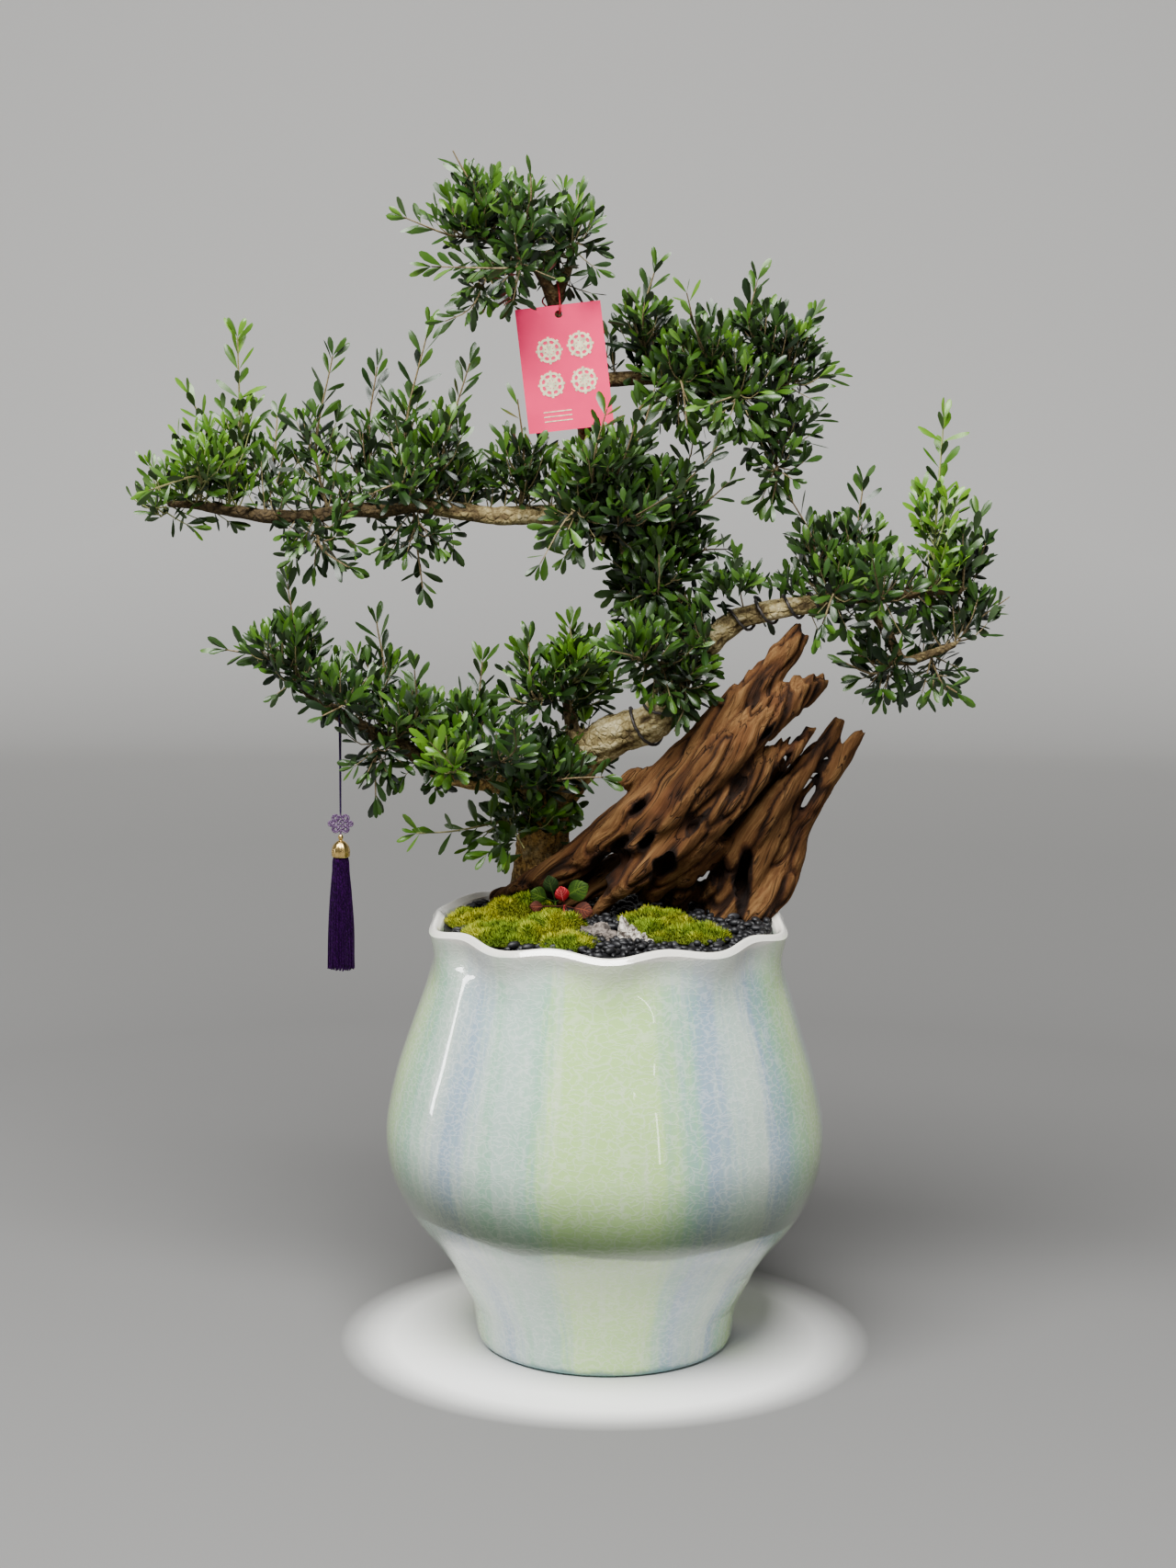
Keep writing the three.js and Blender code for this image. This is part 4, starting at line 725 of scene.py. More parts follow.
@dataclass(frozen=True)
class NerveLeaf(Finish):
    """A leaf whose veins are drawn in another colour."""

    blade: Colour
    vein: Colour

    def mix(self, recipe: Recipe) -> dict:
        """Veins from the tone stored on the mesh, over a mottled blade."""
        mottle = recipe.noise(300.0, 3.0)
        blade = recipe.blend(darker(self.blade, 0.5), self.blade, mottle.fade(0.3, 0.7))
        colour = recipe.blend(blade, self.vein, recipe.tone("vein"))
        return {"Base Color": colour, "Roughness": 0.7, "Specular IOR Level": 0.15,
                "Normal": recipe.bump(recipe.tone("vein"), 0.5, 0.5)}


@dataclass(frozen=True)
class StudioPaper(Finish):
    """The studio's ground: white close round the foot as a painted pool of light, then grey, and paler again
    up the wall as painted light that makes up for the wall's distance from the lamps.
    """

    # Share of the reach from the middle, and the paper's brightness there, with the painted pool of light and
    # the painted light up the wall
    tones: tuple[tuple[float, float], ...] = (
        (0.0, 0.88), (0.0465, 0.88), (0.057, 0.17), (0.3, 0.2), (0.6, 0.37), (0.8, 0.52), (0.9, 0.65),
        (1.0, 0.84))
    reach: float = 4.0

    def mix(self, recipe: Recipe) -> dict:
        """Tones by the distance from the foot, painting a pool of light round it and more light up the wall.
        """
        away = recipe.node("ShaderNodeVectorMath", {"operation": "LENGTH"}, {0: recipe.place()}, result=1)
        stops = [(share, (tone, tone * 0.99, tone * 0.965)) for share, tone in self.tones]
        return {"Base Color": recipe.ramp(away * (1 / self.reach), stops), "Roughness": 0.9,
                "Specular IOR Level": 0.2}


GLAZE = CrackleGlaze("glaze_crackle")
PEBBLES = Pebbles("pebbles_polished")
EARTH = Earth("soil_damp")
MOSS = Moss("moss_living")
ROCK_GREY = Rock("rock_grey", (0.03, 0.023, 0.018), (0.23, 0.19, 0.16))
ROCK_PALE = Rock("rock_pale", (0.05, 0.036, 0.026), (0.72, 0.66, 0.57))
DRIFTWOOD = WeatheredWood("driftwood_weathered")
BARK = CorkyBark("bark_corky")
LEAF = Leaf("leaf_boxwood")
TWIG = Twig("twig_boxwood")
WIRE = Metal("wire_annealed", (0.075, 0.065, 0.06), 0.45, 0.7)
GOLD = Metal("gold_plated", (0.88, 0.62, 0.22), 0.22)
GOLD_INK = Metal("gold_foil", (1.0, 0.93, 0.6), 0.42, 0.1)
SILVER_KNOT = Threads("knot_lavender", (0.05, 0.02, 0.065), (0.28, 0.19, 0.31), 1500.0)
RED_CARD = Card("card_red", (1.0, 0.03, 0.145))
RED_THREAD = Threads("thread_red", (0.24, 0.012, 0.018), (0.45, 0.04, 0.05))
PURPLE_CORD = Threads("cord_purple", (0.014, 0.006, 0.03), (0.045, 0.02, 0.09))
PURPLE_SILK = Threads("silk_purple", (0.005, 0.0001, 0.011), (0.034, 0.0003, 0.062), 1200.0)
NERVE_GREEN = NerveLeaf("nerve_blade_green", (0.022, 0.056, 0.003), (0.06, 0.105, 0.01))
# Painted shade: a darker copy of the green blade, for the pale plant's leaf that lies in the driftwood's
# shadow; it also colours that plant's stalks.
NERVE_DARK = NerveLeaf("nerve_blade_dark", (0.01, 0.028, 0.004), (0.035, 0.06, 0.012))
NERVE_RED = NerveLeaf("nerve_blade_red", (0.4, 0.01, 0.02), (0.62, 0.1, 0.1))
NERVE_BROWN = NerveLeaf("nerve_blade_brown", (0.05, 0.01, 0.004), (0.13, 0.032, 0.014))


# Shapes

Points = np.ndarray


def unit(vectors: Points) -> Points:
    """The same directions with length one."""
    return vectors / np.maximum(np.linalg.norm(vectors, axis=-1, keepdims=True), 1e-9)


def smooth(values: Points, low: float, high: float) -> Points:
    """Goes smoothly from 0 at low to 1 at high."""
    share = np.clip((values - low) / (high - low), 0.0, 1.0)
    return share * share * (3.0 - 2.0 * share)


def bumps(points: Points, size: Union[float, Sequence[float]]) -> Points:
    """Smooth noise from -1 to 1 at points in millimetres, with bumps of about that size."""
    return np.array([noise.noise(place) for place in (points / np.asarray(size)).tolist()])


def shown(name: str, data: bpy.types.ID) -> bpy.types.Object:
    """A new object in the scene."""
    made = bpy.data.objects.new(name, data)
    bpy.context.scene.collection.objects.link(made)
    return made


def spline(stops: Stops, step: float) -> tuple[Points, Points]:
    """A smooth line through stops.

    Args:
        stops: x, y, z and, where it has a thickness, radius.
        step: the greatest distance between its points.

    Returns:
        Its points, and the radius at each.
    """
    table = np.array(stops, float)
    points = table[:, :3]
    radii = table[:, 3] if table.shape[1] > 3 else np.zeros(len(points))
    ends = np.vstack([2 * points[0] - points[1], points, 2 * points[-1] - points[-2]])
    line, sizes = [], []
    for i in range(len(points) - 1):
        before, start, end, after = ends[i:i + 4]
        steps = ((before, start), (start, end), (end, after))
        gap_0, gap_1, gap_2 = (max(1e-4, float(np.linalg.norm(b - a)) ** 0.5) for a, b in steps)
        chord = end - start
        leaving = ((start - before) / gap_0 - (end - before) / (gap_0 + gap_1) + chord / gap_1) * gap_1
        arriving = (chord / gap_1 - (after - start) / (gap_1 + gap_2) + (after - end) / gap_2) * gap_1
        count = max(2, math.ceil(float(np.linalg.norm(chord)) / step))
        t = (np.arange(count) / count)[:, None]
        bend = (3 * chord - 2 * leaving - arriving) * t ** 2 + (-2 * chord + leaving + arriving) * t ** 3
        line.append(start + leaving * t + bend)
        sizes.append(radii[i] + (radii[i + 1] - radii[i]) * t[:, 0])
    return np.vstack([*line, points[-1:]]), np.concatenate([*sizes, radii[-1:]])


def frames(line: Points) -> tuple[Points, Points, Points]:
    """Directions that follow a line without spinning.

    Args:
        line: its points.

    Returns:
        At each point the way ahead, and two ways across it.
    """
    ahead = unit(np.gradient(line, axis=0))
    across = np.empty_like(ahead)
    guess = np.array([0.0, 0.0, 1.0]) if abs(ahead[0, 2]) < 0.8 else np.array([1.0, 0.0, 0.0])
    for i, direction in enumerate(ahead):
        guess = guess - direction * float(guess @ direction)
        guess = guess / max(float(np.linalg.norm(guess)), 1e-9)
        across[i] = guess
    return ahead, across, np.cross(ahead, across)


def runs(line: Points) -> Points:
    """How far along a line each of its points lies."""
    return np.concatenate([[0.0], np.cumsum(np.linalg.norm(np.diff(line, axis=0), axis=1))])


def length_of(line: Points) -> float:
    """A line's length."""
    return float(runs(line)[-1])


def rings(count: int, sides: int, closed: bool = True) -> list[Points]:
    """Faces of a skin over rings of corners, closed by a fan onto a last corner at each end.

    Args:
        count: the number of rings.
        sides: corners in a ring.
        closed: whether the two ends have a fan.

    Returns:
        Arrays of quads and triangles, facing out where the rings run anticlockwise seen from ahead.
    """
    ring, side = np.meshgrid(np.arange(count - 1), np.arange(sides), indexing="ij")
    here = ring * sides + side
    beside = ring * sides + (side + 1) % sides
    faces = [np.stack([here, beside, beside + sides, here + sides], -1).reshape(-1, 4)]
    if closed:
        first, last = count * sides, count * sides + 1
        around = np.arange(sides)
        after = (around + 1) % sides
        top = (count - 1) * sides
        faces.append(np.stack([np.full(sides, first), after, around], -1))
        faces.append(np.stack([np.full(sides, last), top + around, top + after], -1))
    return faces


def tube(line: Points, radii: Points, sides: int, strands: int = 0,
         twist: float = 0.0) -> tuple[Points, list[Points]]:
    """A closed round skin along a line.

    Args:
        line: its middle.
        radii: its radius at each point.
        sides: corners round it.
        strands: how many show in its section, or none.
        twist: turns of the strands a millimetre.

    Returns:
        Its corners and faces.
    """
    _, across, upward = frames(line)
    angle = np.arange(sides) * 2 * math.pi / sides
    reach = np.asarray(radii)[:, None] * np.ones((1, sides))
    if strands:
        turn = 2 * math.pi * twist * runs(line)[:, None] - angle[None, :]
        reach = reach * (1.0 - STRAND_GROOVE * (1.0 - np.abs(np.cos(strands * turn / 2))))
    ring = across[:, None] * np.cos(angle)[None, :, None] + upward[:, None] * np.sin(angle)[None, :, None]
    corners = (line[:, None] + ring * reach[:, :, None]).reshape(-1, 3)
    return np.vstack([corners, line[:1], line[-1:]]), rings(len(line), sides)


def lathe(profile: Points, sides: int, middle: Sequence[float] = (0.0, 0.0)) -> tuple[Points, list[Points]]:
    """A closed turned skin.

    Args:
        profile: radii and heights that start and end on the axis, bottom first.
        sides: corners round it.
        middle: x and y of its axis.

    Returns:
        Its corners and faces.
    """
    angle = np.arange(sides) * 2 * math.pi / sides
    body = profile[1:-1]
    x = middle[0] + body[:, :1] * np.cos(angle)
    y = middle[1] + body[:, :1] * np.sin(angle)
    corners = np.stack([x, y, np.repeat(body[:, 1:], sides, 1)], -1).reshape(-1, 3)
    ends = np.array([(*middle, profile[0, 1]), (*middle, profile[-1, 1])])
    return np.vstack([corners, ends]), rings(len(body), sides)


def ball(level: int) -> tuple[Points, Points]:
    """Corners and triangles of a round ball with radius one, split that many times."""
    golden = (1 + 5 ** 0.5) / 2
    corners = [
        (-1, golden, 0), (1, golden, 0), (-1, -golden, 0), (1, -golden, 0), (0, -1, golden), (0, 1, golden),
        (0, -1, -golden), (0, 1, -golden), (golden, 0, -1), (golden, 0, 1), (-golden, 0, -1), (-golden, 0, 1)]
    points = [unit(np.array(corner, float)) for corner in corners]
    faces = [(0, 11, 5), (0, 5, 1), (0, 1, 7), (0, 7, 10), (0, 10, 11), (1, 5, 9), (5, 11, 4), (11, 10, 2),
             (10, 7, 6), (7, 1, 8), (3, 9, 4), (3, 4, 2), (3, 2, 6), (3, 6, 8), (3, 8, 9), (4, 9, 5),
             (2, 4, 11), (6, 2, 10), (8, 6, 7), (9, 8, 1)]
    for _ in range(level):
        halves: dict[tuple[int, int], int] = {}
        split = []
        for a, b, c in faces:
            middles = []
            for pair in ((a, b), (b, c), (c, a)):
                key = (min(pair), max(pair))
                if key not in halves:
                    halves[key] = len(points)
                    points.append(unit(points[key[0]] + points[key[1]]))
                middles.append(halves[key])
            ab, bc, ca = middles
            split += [(a, ab, ca), (b, bc, ab), (c, ca, bc), (ab, bc, ca)]
        faces = split
    return np.array(points), np.array(faces)


class Heap:
    """Gathers corners and faces for one mesh, with tones for each face."""

    def __init__(self) -> None:
        """Starts empty."""
        self.corners: list[Points] = []
        self.faces: list[list[int]] = []
        self.finish_of_face: list[Points] = []
        self.tones: dict[str, list[Points]] = {}
        self.corner_count = 0

    def add(self, corners: Points, faces: Sequence[Points], finish: int = 0,
            **tones: Union[float, Points]) -> "Heap":
        """Adds a skin.

        Args:
            corners: its corners, in millimetres.
            faces: arrays of its faces, by number of corners.
            finish: which of the piece's finishes it has.
            tones: a value for all of its faces, or one for each, by name.

        Returns:
            The heap itself.
        """
        before = len(self.faces)
        for array in faces:
            self.faces.extend((np.asarray(array) + self.corner_count).tolist())
        count = len(self.faces) - before
        self.corners.append(np.asarray(corners, float))
        self.corner_count += len(corners)
        self.finish_of_face.append(np.full(count, finish))
        for name in set(tones) | set(self.tones):
            stored = self.tones.setdefault(name, [np.zeros(before)] if before else [])
            stored.append(np.broadcast_to(np.asarray(tones.get(name, 0.0), float), (count,)))
        return self

    def mesh(self, name: str) -> bpy.types.Mesh:
        """The mesh, in metres."""
        mesh = bpy.data.meshes.new(name)
        mesh.from_pydata((np.vstack(self.corners) * MM).tolist(), [], self.faces)
        mesh.polygons.foreach_set("material_index", np.concatenate(self.finish_of_face).astype(np.int32))
        for tone, values in self.tones.items():
            store = mesh.attributes.new(tone, "FLOAT", "FACE")
            store.data.foreach_set("value", np.concatenate(values).astype(np.float32))
        return mesh


@dataclass
class Piece:
    """A visible piece in the making: its name, its material slot and the solids that it stands for."""

    name: str
    slot: str
    stands_for: tuple[str, ...] = ()
    sharp_degrees: float = 50.0

    def place(self, mesh: bpy.types.Mesh, *finishes: Finish) -> bpy.types.Object:
        """Puts the mesh in the scene, dressed, riding the part and standing for its solids.

        Args:
            mesh: the piece's mesh, in metres in the row's frame.
            finishes: its finishes, in the order of the mesh's numbers.

        Returns:
            The object.
        """
        mesh.name = self.name
        mesh.shade_smooth()
        mesh.set_sharp_from_angle(angle=math.radians(self.sharp_degrees))
        for finish in finishes:
            mesh.materials.append(finish.material())
        piece = shown(self.name, mesh)
        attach(piece, BODY)
        if self.stands_for:
            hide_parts(*self.stands_for)
        LOG.info("%s: %d faces", self.name, len(mesh.polygons))
        return piece


def worked(mesh: bpy.types.Mesh, *steps: tuple[str, dict]) -> bpy.types.Mesh:
    """Takes a mesh through modifiers.

    Args:
        mesh: the mesh.
        steps: each modifier's type and its settings.

    Returns:
        The mesh that they make.
    """
    carrier = shown("carrier", mesh)
    for kind, settings in steps:
        modifier = carrier.modifiers.new(kind, kind)
        for key, value in settings.items():
            setattr(modifier, key, value)
    graph = bpy.context.evaluated_depsgraph_get()
    made = bpy.data.meshes.new_from_object(carrier.evaluated_get(graph))
    bpy.data.objects.remove(carrier)
    return made


def less(mesh: bpy.types.Mesh, tool: bpy.types.Mesh) -> bpy.types.Mesh:
    """The first mesh with the second cut out of it."""
    cutter = shown("cutter", tool)
    made = worked(mesh, ("BOOLEAN", {"object": cutter, "operation": "DIFFERENCE", "solver": "EXACT"}))
    bpy.data.objects.remove(cutter)
    return made


def corners_of(mesh: bpy.types.Mesh) -> tuple[Points, Points]:
    """A mesh's corners in millimetres, and the directions out of them."""
    places = np.empty(3 * len(mesh.vertices), np.float32)
    mesh.vertices.foreach_get("co", places)
    out = np.empty(3 * len(mesh.vertices), np.float32)
    mesh.vertex_normals.foreach_get("vector", out)
    return places.reshape(-1, 3) / MM, out.reshape(-1, 3).astype(float)


def reshape(mesh: bpy.types.Mesh, places: Points, **tones: Points) -> bpy.types.Mesh:
    """Gives a mesh new places and tones.

    Args:
        mesh: the mesh.
        places: its corners' places, in millimetres.
        tones: a value for each corner, by name.

    Returns:
        The same mesh.
    """
    mesh.vertices.foreach_set("co", (places * MM).astype(np.float32).ravel())
    for name, values in tones.items():
        store = mesh.attributes.new(name, "FLOAT", "POINT")
        store.data.foreach_set("value", np.asarray(values, np.float32))
    mesh.update()
    return mesh


def strewn(random: np.random.Generator, area: Callable[[Points], Points], reach: float,
           spacing: float) -> Points:
    """Scattered places on the ground that keep a distance.

    Args:
        random: the seeded source.
        area: tells which x and y are wanted.
        reach: half the width of the square that holds the area.
        spacing: about the distance between places.

    Returns:
        The x and y of each.
    """
    steps = np.arange(-reach, reach, spacing)
    x, y = np.meshgrid(steps, steps * 0.87)
    x = x + (np.arange(x.shape[0]) % 2)[:, None] * spacing / 2
    places = np.stack([x.ravel(), y.ravel()], -1) + random.uniform(-0.32, 0.32, (x.size, 2)) * spacing
    return places[area(places)]


# The pieces


@dataclass
class Studio:
    """A pale floor that sweeps up behind, soft light and the camera."""

    lens: float = 74.05
    camera_place: tuple[float, float, float] = (-0.0184, -2.738, 0.962)
    pitch_degrees: float = 9.67
    roll_degrees: float = 0.42
    floor_half_width: float = 6.0
    floor_ahead: float = 5.0
    wall_place: float = 4.0
    wall_bend: float = 0.8
    wall_height: float = 5.0
    aim_height: float = 0.4
    air_strength: float = 0.12

    # Name, degrees to the right of the camera's side and up, metres away, width and height, and watts
    lights: Sequence[tuple[str, float, float, float, tuple[float, float], float]] = (
        ("window", -104, 2, 2.2, (0.07, 0.55), 2.4), ("transom", 25, 17, 3.0, (0.7, 0.03), 0.8),
        ("doorway", 28, 6, 3.0, (0.04, 0.8), 1.1), ("ceiling", -18, 60, 2.5, (2.4, 1.2), 235))

    def set_camera(self) -> None:
        """Places the camera where the photo was taken from."""
        data = bpy.data.cameras.new("camera")
        data.sensor_fit = "VERTICAL"
        data.sensor_height = 36.0
        data.lens = self.lens
        camera = shown("camera", data)
        pitch, roll = math.radians(self.pitch_degrees), math.radians(self.roll_degrees)
        level, raised = Vector((1, 0, 0)), Vector((0, math.sin(pitch), math.cos(pitch)))
        right = math.cos(roll) * level + math.sin(roll) * raised
        upward = math.cos(roll) * raised - math.sin(roll) * level
        turn = Matrix((right, upward, right.cross(upward))).transposed()
        camera.matrix_world = Matrix.Translation(self.camera_place) @ turn.to_4x4()
        bpy.context.scene.camera = camera

    def lay_floor(self) -> None:
        """A floor that curves up into a wall behind."""
        bend, level = self.wall_bend, self.wall_place - self.wall_bend
        turns = np.linspace(0.05, math.pi / 2, 24)
        profile = [(-self.floor_ahead, 0.0), (level, 0.0)]
        profile += [(level + bend * math.sin(turn), bend - bend * math.cos(turn)) for turn in turns]
        profile.append((self.wall_place, self.wall_height))
        corners = [(side * self.floor_half_width, y, z) for y, z in profile for side in (-1, 1)]
        faces = [(2 * i, 2 * i + 1, 2 * i + 3, 2 * i + 2) for i in range(len(profile) - 1)]
        mesh = bpy.data.meshes.new("studio_sweep")
        mesh.from_pydata(corners, [], faces)
        mesh.shade_smooth()
        mesh.materials.append(StudioPaper("studio_paper").material())
        shown("studio_sweep", mesh)

    def hang_lights(self) -> None:
        """Soft panels of light that face the tree."""
        for name, azimuth, elevation, distance, size, power in self.lights:
            data = bpy.data.lights.new(name, "AREA")
            data.shape = "RECTANGLE"
            data.size, data.size_y = size
            data.energy = power
            light = shown(name, data)
            turn, rise = math.radians(azimuth), math.radians(elevation)
            out = Vector((math.sin(turn) * math.cos(rise), -math.cos(turn) * math.cos(rise), math.sin(rise)))
            light.location = Vector((0, 0, self.aim_height)) + out * distance
            light.rotation_euler = out.to_track_quat("Z", "Y").to_euler()

    def fill_air(self) -> None:
        """An even grey light from all round."""
        world = bpy.data.worlds.new("studio_air")
        world.use_nodes = True
        ground = world.node_tree.nodes["Background"]
        ground.inputs["Color"].default_value = (1.0, 1.0, 1.0, 1.0)
        ground.inputs["Strength"].default_value = self.air_strength
        bpy.context.scene.world = world

    def build(self) -> None:
        """Sets up all of it."""
        self.set_camera()
        self.lay_floor()
        self.hang_lights()
        self.fill_air()


@dataclass
class CrackledPot:
    """The turned pot with its wavy rim, low lobes and drain holes."""

    profile_outside: Stops = ((106, 0), (111, 3), (117, 37), (129, 63), (148, 91), (170, 119), (186, 151),
                              (191.5, 189), (184, 236), (169, 285), (154.5, 333), (152, 356), (155.5, 374))
    profile_lip: Stops = ((151, 379), (145.5, 375))
    profile_inside: Stops = ((143, 350), (175, 255), (180, 180), (150, 104), (104, 11))
    drain_radius: float = 11.0
    drain_circle: float = 52.0
    sides: int = 180

    def waved(self, places: Points) -> Points:
        """Presses the rim's scallops and the body's lobes into a turned shape.

        Args:
            places: its corners.

        Returns:
            Where they go.
        """
        x, y, z = places.T
        radius = np.hypot(x, y)
        angle = np.arctan2(x, -y)
        wide = radius > BED_RADIUS + 1
        rise = np.where(wide, smooth(z, 325, 366), smooth(z, 350, 366))
        wave = np.cos(SCALLOPS * angle) * rise
        lobe = np.cos(LOBES * (angle - LOBE_TURN)) * smooth(z, 20, 120) * (1 - smooth(z, 260, 330))
        reach = 1 + np.where(radius > 1, (SCALLOP_OUT * wave + LOBE_OUT * lobe) / np.maximum(radius, 1), 0)
        fall = np.where(wide, SCALLOP_DROP * wave, 0)
        return np.stack([x * reach, y * reach, z - fall], -1)

    def build(self) -> bpy.types.Object:
        """Turns the pot, waves it and drills its drains."""
        outside = spline([(r, 0, z) for r, z in self.profile_outside], 5)[0]
        lip = spline([(r, 0, z) for r, z in (self.profile_outside[-1], *self.profile_lip)], 1.0)[0]
        inside = spline([(r, 0, z) for r, z in (self.profile_lip[-1], *self.profile_inside)], 12)[0]
        turned = np.vstack([(0, 0, 0), outside, lip[1:], inside[1:], (0, 0, 11)])[:, [0, 2]]
        corners, faces = lathe(turned, self.sides)
        heap = Heap().add(self.waved(corners), faces)
        drains = Heap()
        for turn in (30, 150, 270):
            middle = [self.drain_circle * trig(math.radians(turn)) for trig in (math.cos, math.sin)]
            line = np.array([(*middle, -4.0), (*middle, 20.0)])
            drains.add(*tube(line, np.full(2, self.drain_radius), 32))
        mesh = less(heap.mesh("pot"), drains.mesh("drains"))
        return Piece("pot_glazed", "crackle_glaze", ("pot",), 42).place(mesh, GLAZE)


@dataclass
class Bed:
    """What lies in the pot's mouth: gravel, moss cushions and stones."""

    pebble_spacing: float = 8.6
    pebble_size: tuple[float, float] = (3.0, 5.2)
    moss_spacing: float = 1.9
    white_pebbles: Stops = ((122, 62, 378), (34, -88, 376), (-8, 96, 377))
    random: np.random.Generator = field(default_factory=lambda: np.random.default_rng(SEED))

    def moss_height(self, cushions: Stops, places: Points) -> Points:
        """Height of the moss over the gravel, negative away from it.

        Args:
            cushions: one group of cushions.
            places: x and y of each place.

        Returns:
            The height at each.
        """
        height = np.full(len(places), -1.0)
        for x, y, half_width, half_depth, rise in cushions:
            away = ((places[:, 0] - x) / half_width) ** 2 + ((places[:, 1] - y) / half_depth) ** 2
            height = np.maximum(height, rise * np.sqrt(np.clip(1 - away, 0, 1)) - 1e-3 * (away > 1))
        return height + self.lumps(places) * smooth(height, 0, 4)

    def lumps(self, places: Points) -> Points:
        """Rise and fall of the moss over its cushions, at x and y."""
        flat = np.column_stack([places[:, :2], np.zeros(len(places))])
        return 4.2 * bumps(flat, 15.0) + 2.2 * bumps(flat + 60, 6.5)

    def lay_gravel(self) -> bpy.types.Object:
        """A dark disc with pebbles heaped over it."""
        heap = Heap()
        disc = np.array([(0, 366), (BED_RADIUS - 1, 366), (BED_RADIUS - 1, 372), (0, 372.5)], float)
        heap.add(*lathe(disc, 96), tone=0.0)
        places = strewn(self.random, lambda p: np.hypot(*p.T) < BED_RADIUS - 5, BED_RADIUS,
                        self.pebble_spacing)
        shape, faces = ball(1)
        for x, y in places:
            covered = max(self.moss_height(MOSS_LEFT, np.array([(x, y)]))[0],
                          self.moss_height(MOSS_RIGHT, np.array([(x, y)]))[0])
            if covered > 5:
                continue
            for layer in range(self.random.choice((1, 2), p=(0.55, 0.45))):
                size = self.random.uniform(*self.pebble_size)
                stretch = size * self.random.uniform((0.8, 0.55, 0.45), (1.35, 0.9, 0.75))
                lumps = 1 + 0.16 * bumps(shape * 1.3 + self.random.uniform(0, 90, 3), 1.0)
                turn = np.array(Matrix.Rotation(self.random.uniform(0, 6.3), 3, "Z")
                                @ Matrix.Rotation(self.random.uniform(-0.6, 0.6), 3, "X"))
                place = (x + self.random.uniform(-3, 3), y + self.random.uniform(-3, 3), 373 + 3.2 * layer)
                corners = (shape * lumps[:, None] * stretch) @ turn.T + place
                heap.add(corners, [faces], tone=self.random.random() ** 3)
        for place in self.white_pebbles:
            heap.add(shape * (4.4, 3.6, 3.2) + place, [faces], 1)
        return Piece("gravel_pebbles", "gravel", ("gravel",)).place(heap.mesh("gravel"), PEBBLES, ROCK_PALE)

    def grow_moss(self, name: str, cushions: Stops, node: str) -> bpy.types.Object:
        """One group of cushions, with a pelt of fine points.

        Args:
            name: the piece's name.
            cushions: the group's cushions.
            node: the solid that it stands for.

        Returns:
            The piece.
        """
        heap = Heap()
        dome, faces = ball(3)
        for x, y, half_width, half_depth, rise in cushions:
            body = dome * (half_width, half_depth, 1.0)
            body[:, 2] = np.where(dome[:, 2] > 0, dome[:, 2] * rise, dome[:, 2] * 4)
            body += (x, y, GRAVEL_TOP)
            body[:, 2] += (self.lumps(body) - 0.8) * smooth(dome[:, 2], 0.05, 0.3)
            heap.add(body, [faces], tone=0.12)
        places = strewn(self.random, lambda p: self.moss_height(cushions, p) > 0.2, 160, self.moss_spacing)
        places = places[np.hypot(*places.T) < BED_RADIUS - 1.5]
        height = self.moss_height(cushions, places)
        clumps = self.lumps(places) / 3.2
        spike = np.array([(0.75, 0, 0), (-0.38, 0.65, 0), (-0.38, -0.65, 0), (0, 0, 1)])
        spike_faces = np.array([(0, 2, 1), (0, 1, 3), (1, 2, 3), (2, 0, 3)])
        step = 1.5
        slopes = [self.moss_height(cushions, places - way) - self.moss_height(cushions, places + way)
                  for way in ((step, 0), (0, step))]
        out = unit(np.column_stack([*slopes, np.full(len(places), 2.4 * step)]))
        for (x, y), rise, clump, way in zip(places, height, clumps, out):
            for _ in range(2):
                lean = way + self.random.uniform(-0.45, 0.45, 3)
                lean /= np.linalg.norm(lean)
                size = self.random.uniform(2.6, 4.6) * (1 + 0.45 * clump)
                foot = np.array((x + self.random.uniform(-0.8, 0.8), y + self.random.uniform(-0.8, 0.8),
                                 GRAVEL_TOP + rise - 1.2))
                corners = spike * (0.9, 0.9, 0) + spike[:, 2:] * lean * size + foot
                tone = 0.42 + 0.45 * clump + self.random.uniform(-0.25, 0.4)
                heap.add(corners, [spike_faces], tone=np.clip(tone, 0, 1))
        return Piece(name, "moss", (node,), 80).place(heap.mesh(name), MOSS)

    def set_stone(self, name: str, chunks: Stops, slot: str, finish: Finish, node: str) -> bpy.types.Object:
        """One rough stone.

        Args:
            name: the piece's name.
            chunks: x, y, half width, half depth and height of its lumps.
            slot: its material slot.
            finish: its finish.
            node: the solid that it stands for.

        Returns:
            The piece.
        """
        shape, faces = ball(4)
        heap = Heap()
        for x, y, half_width, half_depth, height in chunks:
            cuts = unit(self.random.normal(0, 1, (20, 3)))
            facing = np.maximum(shape @ cuts.T, 0.02)
            reach = np.minimum((self.random.uniform(0.5, 1.0, 20) / facing).min(1), 1.15)
            rough = reach + 0.14 * bumps(shape + x, 0.33) + 0.07 * bumps(shape + x, 0.12)
            body = shape * rough[:, None] * (half_width, half_depth, 1.0)
            body[:, 2] = np.where(shape[:, 2] > 0, body[:, 2] * height, body[:, 2] * 4)
            heap.add(body + (x, y, GRAVEL_TOP), [faces])
        return Piece(name, slot, (node,), 60).place(heap.mesh(name), finish)

